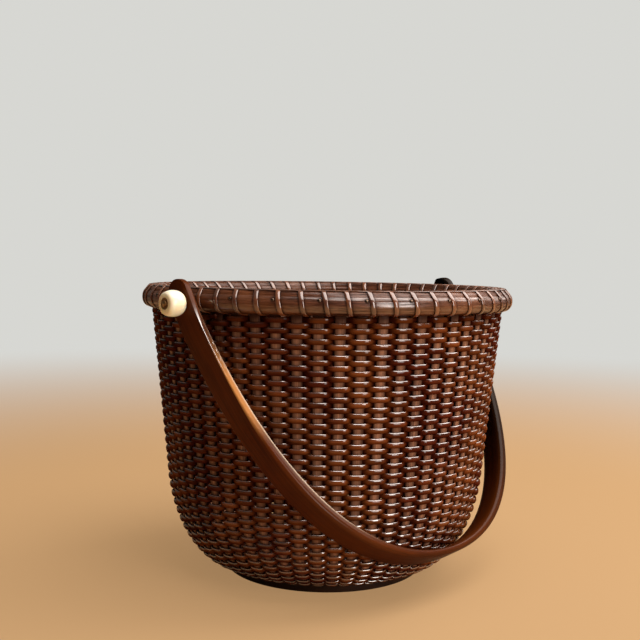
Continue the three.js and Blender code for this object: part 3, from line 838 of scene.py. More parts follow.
@dataclass
class Weave:
    """The cane weaver: one strand that spirals up the wall, over one stave and under the next.

    Its first and last staves are passed level, along the base and along the rim, so that the spiral
    leaves no gap there.

    Attributes:
        flatness: how long the strand stays flat before and behind a stave, k in its formula.
        staves_past_pivot: staves from the left pivot to the place where the strand ends.
        rise_limit: most that a float may lie higher than its place.
        twist_jitter: most that it is turned about its own length, in degrees.
        stave_run: length of the strand's pattern from one stave to the next.
        shade_and_grime_level: painted shade, with some pooled grime, half way between front and back.
        dirt_behind: how much more there is behind a stave, and less before it.
        shadow_reach: how far down the painted shadow under the rim, with some grime, reaches, in
            millimetres.
        lit_ramp: slope and drop of the polish over the strand's height.
        lit_depth: where the polish ends behind, as a share of the thickness.
        polish_ramp: slope and drop of the polish along a float.
    """

    layout: Layout
    outline: WallOutline
    row_pitch: float = 3.0
    strand_height: float = 3.3
    strand_thickness: float = 1.65
    squareness: float = 1.0
    flatness: float = 1.9
    clearance: float = 0.08
    top_margin: float = 0.85
    staves_past_pivot: int = 20
    level_staves: int = 38
    steps_per_stave: int = 9
    section_points: int = 12
    bands: int = 5
    height_jitter: float = 0.2
    rise_limit: float = 0.1
    depth_jitter: float = 0.12
    twist_jitter: float = 7.0
    tone_jitter: float = 0.32
    stave_run: float = 12.3
    girth_share: float = 0.8
    shade_and_grime_level: float = 0.42
    dirt_behind: float = 0.75
    shadow_under_rim: float = 0.8
    low_shade: float = 0.6
    shadow_start: float = 1.2
    shadow_reach: float = 7.0
    lit_ramp: Pair = (3.0, 1.35)
    lit_depth: float = -0.1
    polish_ramp: Pair = (1.5, 0.35)

    def staves_climbed(self) -> int:
        """Number of staves that the strand passes on its climb: whole turns and a part of one."""
        turns = int(self.outline.length() / self.row_pitch - 0.5)
        return turns * self.layout.gaps + self.staves_past_pivot

    def staves_passed(self) -> int:
        """Number of staves that the strand passes in all."""
        return self.staves_climbed() + 2 * self.level_staves

    def _jitter(self, count: Array, seed: int, size: float) -> Array:
        """Seeded random numbers, one for each stave that the strand passes, blended between them.

        Args:
            count: places in staves along the strand.
            seed: what sets this row of numbers apart.
            size: the most that a number is above or below zero.

        Returns:
            A number for each place.
        """
        staves = self.staves_passed() + 2
        numbers = np.random.default_rng(SEED + seed).uniform(-size, size, staves)
        return np.interp(count, np.arange(staves), numbers)

    def _swing(self, count: Array) -> Array:
        """Side of the staves, 1 before and -1 behind: tanh(k cos(pi n)) / tanh(k) of the count n."""
        return np.tanh(self.flatness * np.cos(math.pi * count)) / math.tanh(self.flatness)

    def _climb(self, count: Array) -> Array:
        """Distance up the wall, which grows evenly with the count between the level ends.

        Args:
            count: places in staves along the strand.

        Returns:
            A distance for each place.
        """
        margin = self.strand_height / 2
        climbed = np.clip(count - self.level_staves, 0, self.staves_climbed())
        share = climbed / self.staves_climbed()
        shift = np.minimum(self._jitter(count, 2, self.height_jitter), self.rise_limit)
        distance = margin + share * (self.outline.length() - margin - self.top_margin)
        return np.maximum(distance + shift, margin)

    def _course(self, count: Array) -> tuple[Array, Array]:
        """Middle line of the strand, and the direction that its outer side faces there.

        Args:
            count: places in staves along the strand.

        Returns:
            Points and directions, one for each place.
        """
        lay = self.layout
        front = self.strand_thickness / 2
        behind = (lay.float_thickness + lay.seat + lay.stave_thickness + self.clearance
                  + self.strand_thickness / 2)
        push = np.abs(self._jitter(count, 1, self.depth_jitter))
        depth = (front + behind) / 2 - self._swing(count) * (behind - front) / 2 + push
        place, normal = self.outline.at(self._climb(count))
        angle = lay.angle_at(count - self.level_staves)
        path = swing_round(place - normal * depth[:, None], angle)
        upward = swing_round(pairs(-normal[:, 1], normal[:, 0]), angle)
        outward = np.cross(unit(np.gradient(path, axis=0)), upward)
        outward *= np.sign(np.einsum("ij,ij->i", outward, swing_round(normal, angle)))[:, None]
        twist = np.radians(self._jitter(count, 3, self.twist_jitter))
        return path, outward * np.cos(twist)[:, None] + upward * np.sin(twist)[:, None]

    def _marks(self, count: Array, section: Array) -> dict[str, Array]:
        """Painted shade, partly grime, behind the staves, under the rim and along the lower side, tone,
        and polish in front.

        Args:
            count: places in staves along the strand.
            section: the strand's section.

        Returns:
            The values for each point, by name.
        """
        swing = self._swing(count)
        fallen = section[:, 0] / (self.strand_height / 2)
        # Painted shadow under the rim, with some grime, fading down the wall.
        under_rim = shadow_and_grime(self.outline.length() - self._climb(count), self.shadow_reach,
                          self.shadow_start)
        # Painted shade where the strand goes behind a stave, with some pooled grime.
        dirt = np.clip(self.shade_and_grime_level - self.dirt_behind * swing
                       + self.shadow_under_rim * under_rim, 0, 1)
        # Painted shade along the strand's lower side.
        low = np.clip(fallen, 0, 1) * self.low_shade
        lit = np.where(section[:, 1] > self.lit_depth * self.strand_thickness,
                       ramp(-fallen, *self.lit_ramp), 0)
        return {"dirt": np.maximum(dirt[:, None], low[None, :]),
                "tone": self._jitter(count, 4, self.tone_jitter)[:, None],
                "polish": ramp(swing, *self.polish_ramp)[:, None] * lit[None, :]}

    def strand(self, first: int, last: int) -> Skin:
        """Part of the strand: an oval carried along its course.

        Args:
            first: count of staves where the part starts.
            last: count where it ends.

        Returns:
            The part's skin.
        """
        count = np.arange(first * self.steps_per_stave, last * self.steps_per_stave + 1)
        count = count / self.steps_per_stave
        path, outward = self._course(count)
        section = oval(self.strand_height, self.strand_thickness, self.section_points, self.squareness)
        run = length_along(path) + first * self.stave_run
        around = 2 * (self.strand_height + self.strand_thickness) * self.girth_share
        girth = np.linspace(0, around, self.section_points + 1)
        return Skin(sweep(path, outward, section), capped=True,
                    pattern=pairs(run[:, None], girth[None, :]), values=self._marks(count, section))

    def build(self) -> None:
        """Makes the strand in bands that meet behind a stave."""
        edges = np.linspace(0, self.staves_passed(), self.bands + 1).astype(int)
        edges[1:-1] += (edges[1:-1] + 1) % 2
        for number, (first, last) in enumerate(zip(edges[:-1], edges[1:]), start=1):
            band = self.strand(int(first), int(last)).to_object(f"weaver_band_{number}")
            dress(band, WEAVER, BASKET_BODY, "woven_wall")


@dataclass
class Staves:
    """The upright splints from the base's kerf to the top of the rim hoops.

    Attributes:
        foot_radius: radius where the staves start, in the kerf.
        squareness: exponents of a stave's section, across and through it.
        grain_offset: how far the pattern moves on from stave to stave.
        edge_shade_ramp: slope and drop of the painted shade towards the edges.
        shadow_reach: how far down the painted shadow under the rim, with some grime, reaches.
    """

    layout: Layout
    outline: WallOutline
    foot_radius: float = 56.6
    width_at_rim: float = 6.5
    width_at_foot: float = 4.2
    squareness: Pair = (0.45, 0.75)
    section_points: int = 12
    foot_steps: int = 3
    wall_steps: int = 44
    top_steps: int = 3
    wall_inset: float = 0.5
    top_inset: float = 1.0
    girth: float = 14.0
    grain_offset: float = 37.0
    tone_jitter: float = 0.15
    edge_shade_ramp: Pair = (2.1, 0.85)
    shadow_start: float = 1.15
    shadow_reach: float = 8.0

    def middle_line(self) -> Array:
        """Middle line of a stave: foot, wall and straight top.

        Returns:
            Array of [radius, height] pairs.
        """
        lay = self.layout
        depth = lay.float_thickness + lay.seat + lay.stave_thickness / 2
        distance = np.linspace(self.wall_inset, self.outline.length() - self.wall_inset,
                               self.wall_steps)
        place, normal = self.outline.at(distance)
        wall = place - normal * depth
        foot = np.linspace(self.foot_radius, wall[0, 0], self.foot_steps, endpoint=False)
        top = np.linspace(lay.hoop_bottom + self.top_inset, lay.hoop_top, self.top_steps)
        return np.concatenate([pairs(foot, wall[0, 1]), wall, pairs(lay.stave_middle, top)])

    def build(self) -> None:
        """Carries a crowned flat section up each stave's middle line."""
        lay = self.layout
        line = self.middle_line()
        slope = unit(np.gradient(line, axis=0))
        facing = pairs(slope[:, 1], -slope[:, 0])
        angle = lay.angle_at(np.arange(lay.gaps))[:, None]
        share = (line[:, 0] - self.foot_radius) / (lay.stave_middle - self.foot_radius)
        width = self.width_at_foot + (self.width_at_rim - self.width_at_foot) * share
        turn = full_turn(self.section_points)
        across = signed_power(np.cos(turn), self.squareness[0])
        thick = signed_power(np.sin(turn), self.squareness[1])
        section = pairs(width[:, None] / 2 * across, lay.stave_thickness / 2 * thick)
        points = sweep(swing_round(line[None], angle), swing_round(facing[None], angle), section[None])
        girth = np.linspace(0, self.girth, self.section_points + 1)
        offset = np.arange(lay.gaps)[:, None, None] * self.grain_offset
        pattern = pairs(length_along(line)[None, :, None] + offset, girth[None, None, :] + offset)
        rng = np.random.default_rng(SEED + 10)
        tone = rng.uniform(-self.tone_jitter, self.tone_jitter, lay.gaps)[:, None, None]
        # Painted shade towards each stave's edges, where the weave covers them, and painted shadow under
        # the rim with some grime.
        edge = ramp(np.abs(across), *self.edge_shade_ramp)[None, None, :]
        under_rim = shadow_and_grime(lay.hoop_bottom - line[:, 1], self.shadow_reach, self.shadow_start)
        dirt = np.maximum(edge, under_rim[None, :, None])
        staves = Skin(points, capped=True, pattern=pattern, values={"tone": tone, "dirt": dirt})
        dress(staves.to_object("split_staves"), STAVE, BASKET_BODY, "staves")


@dataclass
class Rim:
    """The two half-round hoops, the cap over them, the lashing and the nails.

    Attributes:
        wander: size of the unevenness of a hoop's round side.
        wander_waves: for each of its waves, how many go round the rim, and its start in radians.
        wrap_dirt: how far painted shade, with some grime, reaches beside a wrap of the lashing.
        nail_dirt: how far painted shade, with some grime, reaches round a nail's head.
        under_ramp: slope, drop and most of the painted shade towards a hoop's underside.
        gleam_ramp: slope and drop of the polish towards the middle of a hoop's round side.
        strap_section: the lashing's section, as shares of its width and of its thickness.
        edge_share: how far off the middle its painted shaded edges start, as a share of its width.
        slant_share: share of a stave's pitch that a wrap gains on its way round, without the cap.
        cap_crossing: share of the way round on which it gains the rest, over the cap.
        wrap_jitter: most that a wrap lies off its place, as a share of the pitch.
        wrap_tones: least and most that a wrap is lighter, as a share.
        nail_place: where a nail stands, in staves past the middle of a stave.
        nail_rise: how high it stands over the hoop's middle.
        nail_point: radius of its blunt point and of the top of its head.
        nail_stop: how far short of the stave's inner side it ends.
    """

    layout: Layout
    hoop_squareness: float = 0.8
    arc_points: int = 17
    face_points: int = 3
    steps_per_stave: int = 12
    wander: float = 0.0175
    wander_waves: tuple[tuple[int, int], ...] = ((3, 1), (7, 2), (13, 0))
    crease: float = 50.0
    wrap_dirt: float = 0.7
    nail_dirt: float = 0.35
    under_ramp: tuple[float, float, float] = (4.0, 3.2, 0.8)
    gleam_ramp: Pair = (1.6, 0.3)
    inner_polish: float = 0.3
    cap_polish: float = 0.35
    cap_width: float = 11.0
    cap_ease: float = 1.3
    cap_points: int = 10
    cap_rest: float = 0.03
    rest_points: int = 8
    strap_width: float = 2.8
    strap_rest: float = 0.04
    strap_section: tuple[tuple[float, float], ...] = (
        (-0.5, -0.3), (-0.45, 0.05), (-0.27, 0.38), (0.0, 0.5), (0.27, 0.38), (0.45, 0.05),
        (0.5, -0.3), (0.4, -0.5), (-0.4, -0.5))
    strap_polish: float = 0.75
    strap_girth: float = 7.0
    strap_step: float = 0.95
    edge_share: float = 0.46
    edge_dirt: float = 0.6
    slant_share: float = 0.68
    cap_crossing: float = 0.08
    wrap_directions: int = 1441
    wrap_points: int = 40
    wrap_jitter: float = 0.035
    width_jitter: float = 0.08
    wrap_tones: Pair = (-0.2, 0.25)
    nail_place: float = 0.06
    nail_rise: float = 2.7
    nail_spacing: int = 2
    nail_probe: float = 0.4
    nail_shank: float = 0.5
    nail_point: float = 0.01
    nail_taper: float = 0.8
    nail_stop: float = 0.3
    nail_head: float = 0.95
    nail_head_height: float = 0.6
    nail_head_edge: float = 0.12
    nail_gap: float = 0.02
    nail_sides: int = 14
    nail_crease: float = 40.0
    dome_points: int = 5

    @property
    def counts(self) -> Array:
        """Places along the rim in staves, one for each row of hoops and cap."""
        return np.arange(self.layout.gaps * self.steps_per_stave) / self.steps_per_stave

    def nail_counts(self) -> Array:
        """Places of the nails: every second stave on each side of the pivots.

        Returns:
            Places in staves along the rim.
        """
        lay = self.layout
        front = np.arange(self.nail_spacing, lay.front_gaps, self.nail_spacing)
        back = lay.front_gaps + np.arange(self.nail_spacing, lay.back_gaps - 1, self.nail_spacing)
        return np.concatenate([front, back]) + self.nail_place

    def half_round(self, face: float, side: int) -> Array:
        """Half-round section as pairs, from the bottom of its flat face round to its top.

        Args:
            face: radius of the flat face.
            side: 1 for a hoop outside the staves, -1 for one inside.

        Returns:
            Array of [radius, height] pairs along the round side.
        """
        lay = self.layout
        turn = np.linspace(-math.pi / 2, math.pi / 2, self.arc_points)
        out = np.maximum(np.cos(turn), 0) ** self.hoop_squareness
        rise = signed_power(np.sin(turn), self.hoop_squareness)
        return pairs(face + side * lay.hoop_depth * out, lay.hoop_middle + rise * lay.hoop_height / 2)

    def place_of(self, section: Array) -> Array:
        """Where the lashing passes a point of the rim's section, as a share of a stave's pitch.

        The share follows the turn about the section's middle, slanted, and gains the rest of the pitch
        over the cap in a smooth step.

        Args:
            section: array of [radius, height] pairs.

        Returns:
            Shares of the pitch.
        """
        lay = self.layout
        turn = np.arctan2(lay.stave_middle - section[..., 0], lay.hoop_middle - section[..., 1])
        turn = turn / (2 * math.pi)
        over = smooth_step((np.abs(turn) - 0.5 + self.cap_crossing) / self.cap_crossing)
        return 0.5 + self.slant_share * turn + np.sign(turn) * (1 - self.slant_share) / 2 * over

    def grime_and_shade_by_wraps(self, section: Array, nailed: bool) -> Array:
        """Painted shade, with some grime, beside the wraps of the lashing, and round the nails where
        there are any, 0 to 1.

        Args:
            section: pairs [radius, height], one for each column.
            nailed: whether the nails go through this piece.

        Returns:
            Array of shape (rows, columns).
        """
        lay = self.layout
        count = self.counts[:, None]
        pitch = 2 * math.pi * section[None, :, 0] / lay.gaps
        off = (count - self.place_of(section)[None, :] + 0.5) % 1 - 0.5
        dirt = fading(np.abs(off) * pitch - self.strap_width / 2, self.wrap_dirt)
        if nailed:
            nails = self.nail_counts()
            near = nails[np.abs(count - nails[None, :]).argmin(axis=1)]
            along = (count - near[:, None]) * pitch
            gap = np.hypot(along, section[None, :, 1] - lay.hoop_middle - self.nail_rise)
            dirt = np.maximum(dirt, fading(gap - self.nail_head, self.nail_dirt))
        return dirt

    def unrolled(self, section: Array) -> Array:
        """Pattern of a hoop or the cap: the length along the rim and the length round the section."""
        run = np.linspace(0, 2 * math.pi * self.layout.rim_radius, len(self.counts) + 1)
        return pairs(run[:, None], length_round(section)[None, :])

    def hoop(self, name: str, face: float, side: int, node: str) -> None:
        """Makes a hoop: its section carried round the rim, with a slight wander of its round side.

        Args:
            name: the piece's name.
            face: radius of its flat face.
            side: 1 outside the staves, -1 inside.
            node: the CAD node that it stands for.
        """
        lay = self.layout
        angle = lay.angle_at(self.counts)
        section = self.half_round(face, side)
        flat = np.linspace(section[-1], section[0], self.face_points + 2)[1:-1]
        section = np.concatenate([section, flat])
        standing = np.abs(section[:, 0] - face) / lay.hoop_depth
        waves = sum(np.sin(angle * times + start) for times, start in self.wander_waves)
        inward = self.wander * (len(self.wander_waves) + waves)
        grid = np.broadcast_to(section[None], (len(angle), *section.shape)).copy()
        grid[..., 0] -= side * inward[:, None] * standing[None]
        # Painted shade, with some grime, beside the wraps and nails and towards the hoop's underside.
        below = (lay.hoop_middle - section[:, 1]) / (lay.hoop_height / 2)
        dirt = np.maximum(self.grime_and_shade_by_wraps(section, side > 0), ramp(below, *self.under_ramp)[None, :])
        gleam = ramp(standing, *self.gleam_ramp) * (1.0 if side > 0 else self.inner_polish)
        made = Skin(swing_round(grid, angle[:, None]), ring=True, pattern=self.unrolled(section),
                    values={"dirt": dirt, "polish": (1 - dirt) * gleam[None, :]})
        dress(made.to_object(name, self.crease), HOOP, BASKET_BODY, node)

    def cap_section(self) -> Array:
        """Section of the cap as pairs: a flat top with rounded edges, bedded on the hoops' rounds.

        Each edge is a quadratic curve from the hoop's shoulder up to the flat top.

        Returns:
            Array of [radius, height] pairs round the section.
        """
        lay = self.layout
        half = self.cap_width / 2
        hoop = self.half_round(lay.outer_face, 1)[self.arc_points // 2:] - [lay.stave_middle, 0]
        across = np.linspace(0, half, self.rest_points)
        rest = np.interp(across, hoop[::-1, 0], hoop[::-1, 1]) + self.cap_rest
        share = np.linspace(0, 1, self.cap_points)[:, None]
        corners = np.array([[half, rest[-1]], [half - self.cap_ease, lay.rim_top],
                            [half - 2 * self.cap_ease, lay.rim_top]])
        edge = ((1 - share) ** 2 * corners[0] + 2 * share * (1 - share) * corners[1]
                + share ** 2 * corners[2])
        right = np.concatenate([pairs(across, rest)[:-1], edge])
        left = (right[1:] * [-1, 1])[::-1]
        return np.concatenate([right, left]) + [lay.stave_middle, 0]

    def cap(self) -> None:
        """Makes the flat strip over the hoops and the ends of the staves."""
        section = self.cap_section()
        points = swing_round(section[None], self.layout.angle_at(self.counts)[:, None])
        # Painted shade, with some grime, beside the wraps.
        dirt = self.grime_and_shade_by_wraps(section, False)
        made = Skin(points, ring=True, pattern=self.unrolled(section),
                    values={"dirt": dirt, "polish": self.cap_polish * (1 - dirt)})
        dress(made.to_object("flat_cap", self.crease), HOOP, BASKET_BODY, "rim_cap")

    def wrapped_outline(self) -> tuple[Array, Array]:
        """Middle line of one wrap of the strap round the rim's section, and its outward normals.

        For each direction the point of hoops and cap that reaches furthest that way is moved out by the
        strap's rest and half its thickness, and the loop is then spaced evenly, from the top of the cap
        outwards, down and round.

        Returns:
            Two arrays of [radius, height] pairs.
        """
        lay = self.layout
        wood = np.concatenate([self.half_round(lay.outer_face, 1),
                               self.half_round(lay.inner_face, -1), self.cap_section()])
        turn = np.linspace(0, 2 * math.pi, self.wrap_directions)
        ways = pairs(np.sin(turn), np.cos(turn))
        furthest = wood[(ways @ wood.T).argmax(axis=1)]
        loop = furthest + ways * (self.strap_rest + lay.strap_thickness / 2)
        run = length_along(loop)
        spaced = np.linspace(0, run[-1], self.wrap_points, endpoint=False)
        return read_at(spaced, run, loop), unit(read_at(spaced, run, ways))

    def lashing(self) -> None:
        """Makes the strap: a crowned flat section carried round the section and along the rim."""
        lay = self.layout
        line, facing = self.wrapped_outline()
        rng = np.random.default_rng(SEED + 20)
        slip = rng.uniform(-self.wrap_jitter, self.wrap_jitter, lay.gaps)[:, None]
        hold = 1 - (2 * np.abs((np.arange(self.wrap_points) / self.wrap_points) - 0.5)) ** 4
        count = np.arange(lay.gaps)[:, None] + self.place_of(line)[None] + slip * hold[None]
        angle = lay.angle_at(count)
        path, outward = (swing_round(np.broadcast_to(section, (*count.shape, 2)), angle)
                         .reshape(-1, 3) for section in (line, facing))
        path, outward = (np.concatenate([loop[-1:], loop, loop[:1]]) for loop in (path, outward))
        spread, crown = np.array(self.strap_section).T
        width = 1 + rng.uniform(-self.width_jitter, self.width_jitter, lay.gaps + 1)
        width = np.interp(np.arange(len(path)) / self.wrap_points, np.arange(lay.gaps + 1), width)
        section = pairs(spread * self.strap_width * width[:, None], crown * lay.strap_thickness)
        points = sweep(path, outward, section)[1:-1]
        run = np.arange(len(points) + 1) * self.strap_step
        girth = np.linspace(0, self.strap_girth, len(spread) + 1)
        tone = np.repeat(rng.uniform(*self.wrap_tones, lay.gaps), self.wrap_points)[:, None]
        # Painted shade along the strap's edges.
        edge = np.where(np.abs(spread) > self.edge_share, self.edge_dirt, 0.0)[None]
        made = Skin(points, ring=True, pattern=pairs(run[:, None], girth[None, :]),
                    values={"tone": tone, "dirt": edge, "polish": self.strap_polish - edge})
        dress(made.to_object("spiral_lashing"), LASHING, BASKET_BODY, "rim_lashing")

    def nail_seat(self) -> tuple[Array, Array, Array]:
        """Where a nail enters the outer hoop's round side, and how that side faces there.

        Returns:
            The seat, the outward normal and the upward tangent as [radius, height] pairs.
        """
        section = self.half_round(self.layout.outer_face, 1)
        rise = section[:, 1] - self.layout.hoop_middle
        heights = self.nail_rise + self.nail_probe * np.array([-1, 0, 1])
        low, radius, high = np.interp(heights, rise, section[:, 0])
        up = unit(np.array([high - low, 2 * self.nail_probe]))
        return np.array([radius, self.layout.hoop_middle + self.nail_rise]), up[::-1] * [1, -1], up

    def nail_profile(self, tip: float) -> Array:
        """Profile of a nail from its tip to its top.

        Args:
            tip: where the tip lies, below zero inside the hoop.

        Returns:
            Array of [radius, distance out from the hoop] pairs.
        """
        dome = np.linspace(0, math.pi / 2, self.dome_points)
        edge = self.nail_gap + self.nail_head_edge
        head = pairs(self.nail_head * np.cos(dome) + self.nail_point,
                     edge + (self.nail_head_height - self.nail_head_edge) * np.sin(dome))
        return np.concatenate([[[self.nail_point, tip], [self.nail_shank, tip + self.nail_taper],
                                [self.nail_shank, self.nail_gap], [self.nail_head, self.nail_gap]],
                               head])

    def nails(self) -> None:
        """Makes each nail: a pointed shank under a domed head, turned about its own axis."""
        lay = self.layout
        seat, outward, upward = self.nail_seat()
        depth = (lay.stave_middle - lay.stave_thickness / 2 - seat[0]) / outward[0]
        profile = self.nail_profile(depth + self.nail_stop)
        sides = full_turn(self.nail_sides)
        rubbed = np.clip(profile[:, 1] / self.nail_head_height, 0, 1) ** 3
        around = profile[:, 0:1] * np.cos(sides)
        flat = (seat + outward * profile[:, 1, None, None]
                + upward * (profile[:, 0:1] * np.sin(sides))[..., None])
        for number, count in enumerate(self.nail_counts(), start=1):
            angle = float(lay.angle_at(np.array(count)))
            level = np.array([-math.sin(angle), math.cos(angle), 0])
            points = swing_round(flat, np.array(angle)) + level * around[..., None]
            made = Skin(points, capped=True, values={"rubbed": rubbed[:, None]})
            dress(made.to_object(f"nail_{number:02d}", self.nail_crease), NAIL, BASKET_BODY,
                  f"rim_nail_{number:02d}")

    def build(self) -> None:
        """Makes all of the rim."""
        lay = self.layout
        self.hoop("outer_half_round", lay.outer_face, 1, "outer_hoop")
        self.hoop("inner_half_round", lay.inner_face, -1, "inner_hoop")
        self.cap()
        self.lashing()
        self.nails()


@dataclass(frozen=True)
class Stretch:
    """A stretch of the handle that looks different from the rest.

    Attributes:
        place: distance of its middle from an end of the handle.
        spread: half its length.
        amount: how strong it is.
    """

    place: float
    spread: float
    amount: float

    def along(self, distance: Array) -> Array:
        """Its strength at distances from the end: amount exp(-((x - place) / spread)^4)."""
        return self.amount * np.exp(-((distance - self.place) / self.spread) ** 4)


@dataclass
class SwingHandle:
    """The bentwood handle, flat outside and round inside, with a round ear at each end.

    Attributes:
        hang_angle: how far it hangs below the level, in degrees.
        arm_place: share of the way from arm to crown where it is thickest.
        arm_lead: how far the straight arm is led back past the pivot before the line is smoothed.
        arm_lean: how far the curve's second point lies inwards of the arm.
        arm_stiffness: height of that point as a share of the reach.
        crown_stiffness: width of the third point as a share of the ears' distance.
        smoothing: length of the window that smooths the line.
        fade_from: distance from the pivots past which the smoothing fades out.
        ear_start: angle at which an ear's first section stands, in radians.
        edge_width: how far the outer edges' rounding reaches in, as a share of the half width.
        ear_softness: share of that rounding which the ears have.
        side_share: share of the thickness that is a flat side.
        edge_power: exponent of how the look of the edge comes in round the outer edge.
        inside_fade: how fast it goes out again on the round inside.
        sharp_arc: middle and width of the painted highlight line on the round inside, in radians.
        stained: how much of the orange colour shows on all of the edge.
        orange: the left arm's orange edge, partly rubbed-off stain and partly painted light.
        gleam: the left arm's polished edge.
        bare: the left arm's painted highlight line.
        pale: the left arm's lighter stretch.
        dark: the right arm's darker stretch, painted shade.
    """

    layout: Layout
    reach: float = 176.8
    hang_angle: float = 58.1383
    width: float = 16.5
    ear_thickness: float = 6.0
    arm_thickness: float = 7.8
    crown_thickness: float = 5.0
    arm_place: float = 0.35
    ear_clearance: float = 1.1
    arm_straight: float = 12.0
    arm_lead: float = 20.0
    arm_lean: float = 10.5
    arm_stiffness: float = 0.892
    crown_stiffness: float = 0.3
    smoothing: float = 7.0
    fade_from: float = 60.0
    fade_length: float = 20.0
    ear_centre: float = 6.2
    ear_start: float = 0.06
    edge_width: float = 0.36
    edge_depth: float = 0.34
    ear_softness: float = 0.16
    side_share: float = 0.3
    inside_squareness: float = 0.8
    edge_power: float = 0.6
    inside_fade: float = 1.6
    sharp_arc: Pair = (0.3, 0.17)
    stained: float = 0.02
    orange: Stretch = Stretch(72.0, 25.0, 0.9)
    gleam: Stretch = Stretch(43.0, 16.0, 1.0)
    bare: Stretch = Stretch(107.0, 62.0, 0.9)
    pale: Stretch = Stretch(90.0, 55.0, 0.3)
    dark: Stretch = Stretch(30.0, 150.0, -1.0)
    corner_points: int = 7
    inside_points: int = 10
    ear_steps: int = 12
    arm_steps: int = 64
    curve_samples: int = 800
    arm_samples: int = 80
    crease: float = 42.0
    hole_radius: float = 1.55
    hole_sides: int = 24
    drill_past: float = 1.0

    @property
    def ear_inner(self) -> float:
        """Distance of the ears' inner faces from the middle."""
        lay = self.layout
        return math.sqrt(lay.rim_radius ** 2 - lay.pivot_offset ** 2) + self.ear_clearance

    @property
    def ear_outer(self) -> float:
        """Distance of the ears' flat outer faces from the middle."""
        return self.ear_inner + self.ear_thickness

    def half_line(self) -> Array:
        """Inner face's line from pivot to crown in the handle's plane.

        A straight arm leads into a cubic Bezier curve. Both are sampled finely and evenly, averaged over
        a short window so that they run into one another without a kink, and spaced again.

        Returns:
            Array of [across, away, share], where the share runs from 0 on the straight arm to 1 at the
            crown.
        """
        reach = self.reach - self.crown_thickness
        start = np.array([self.ear_inner, self.arm_straight, 0.0])
        handles = [start,
                   np.array([self.ear_inner - self.arm_lean, reach * self.arm_stiffness, 1 / 3]),
                   np.array([self.ear_inner * self.crown_stiffness, reach, 2 / 3]),
                   np.array([0, reach, 1.0])]
        share = np.linspace(0, 1, self.curve_samples)[:, None]
        curve = sum(weight * point for weight, point in zip(
            ((1 - share) ** 3, 3 * (1 - share) ** 2 * share, 3 * (1 - share) * share ** 2,
             share ** 3), handles))
        arm = np.linspace([self.ear_inner, -self.arm_lead, 0.0], start, self.arm_samples,
                          endpoint=False)
        line = self._spaced(np.concatenate([arm, curve]), self.curve_samples)
        gap = float(np.linalg.norm(line[1, :2] - line[0, :2]))
        window = max(int(self.smoothing / gap), 1)
        kernel = np.hanning(2 * window + 3)[1:-1]
        kernel /= kernel.sum()
        before = line[0] + (line[0] - line[1:window + 1])[::-1]
        after = (line[-window - 1:-1] * [-1, 1, 1])[::-1]
        padded = np.concatenate([before, line, after])
        smooth = np.stack([np.convolve(column, kernel, mode="valid") for column in padded.T], axis=-1)
        fade = np.clip((line[:, 1:2] - self.fade_from) / self.fade_length, 0, 1)
        line = smooth * (1 - fade) + line * fade
        return self._spaced(line[line[:, 1] > 0], self.arm_steps)

    @staticmethod
    def _spaced(line: Array, steps: int) -> Array:
        """The line with its points spaced evenly along it."""
        run = length_along(line[:, :2])
        return read_at(np.linspace(0, run[-1], steps), run, line)

    def stations(self) -> tuple[Array, Array, Array, Array]:
        """Places from the left ear round to the right one, with the handle's section at each.

        Returns:
            The inner face's line as [across, away] pairs, the half widths, the thicknesses, and the
            softness of the edges from 0 to 1.
        """
        half = self.width / 2
        turn = np.linspace(self.ear_start, math.pi / 2, self.ear_steps)
        ear = np.stack([np.full(self.ear_steps, self.ear_inner),
                        -(self.ear_centre + half * np.cos(turn)), np.zeros(self.ear_steps)], axis=-1)
        right = np.concatenate([ear, self.half_line()])
        widths = np.concatenate([half * np.sin(turn), np.full(self.arm_steps, half)])
        grown = smooth_step(right[:, 2] / self.arm_place)
        shrunk = smooth_step((right[:, 2] - self.arm_place) / (1 - self.arm_place))
        thickness = (self.ear_thickness + (self.arm_thickness - self.ear_thickness) * grown
                     + (self.crown_thickness - self.arm_thickness) * shrunk)
        softness = self.ear_softness + (1 - self.ear_softness) * grown
        left = (right[:-1, :2] * [-1, 1])[::-1]
        line = np.concatenate([right[:, :2], left])
        return (line, *(np.concatenate([numbers, numbers[:-1][::-1]])
                        for numbers in (widths, thickness, softness)))

    def sections(self, half: Array, thickness: Array, softness: Array) -> tuple[Array, Array, Array]:
        """Sections with a flat middle outside, rounded edges, short sides and a round inside.

        The inside is a quarter of x = w cos^q t, y = d (1 - sin^q t) on each side.

        Args:
            half: half width of each section.
            thickness: thickness of each section.
            softness: how much of the full rounding each section's outer edges have.

        Returns:
            Pairs [across, out from the inner face] of shape (sections, points, 2), how far each point
            lies on a side with its outer edge, 0 to 1, and how far on a side's inner edge.
        """
        wide, deep = self.edge_width * softness, self.edge_depth * softness
        corner = np.linspace(0, math.pi / 2, self.corner_points)
        arc = np.linspace(0, math.pi / 2, self.inside_points)
        q = self.inside_squareness
        side = np.concatenate([
            pairs(0, (1 - wide) / 2),
            1 - wide[:, None] * (1 - np.sin(corner)),
            np.broadcast_to(np.maximum(np.cos(arc), 0) ** q, (len(half), len(arc)))], axis=-1)
        low = (1 - deep) * (1 - self.side_share)
        out = np.concatenate([
            np.ones((len(half), 2)), 1 - deep[:, None] * (1 - np.cos(corner)),
            low[:, None] * (1 - np.sin(arc) ** q)], axis=-1)
        edge = np.concatenate([[0, 0], np.sin(corner) ** self.edge_power,
                               np.clip(self.inside_fade - arc * self.inside_fade, 0, 1)])
        middle, spread = self.sharp_arc
        sharp = np.concatenate([np.zeros(len(corner) + 2), np.exp(-((arc - middle) / spread) ** 2)])
        mirror = slice(-2, 0, -1)
        shapes = pairs(np.concatenate([side, -side[:, mirror]], axis=-1) * half[:, None],
                       np.concatenate([out, out[:, mirror]], axis=-1) * thickness[:, None])
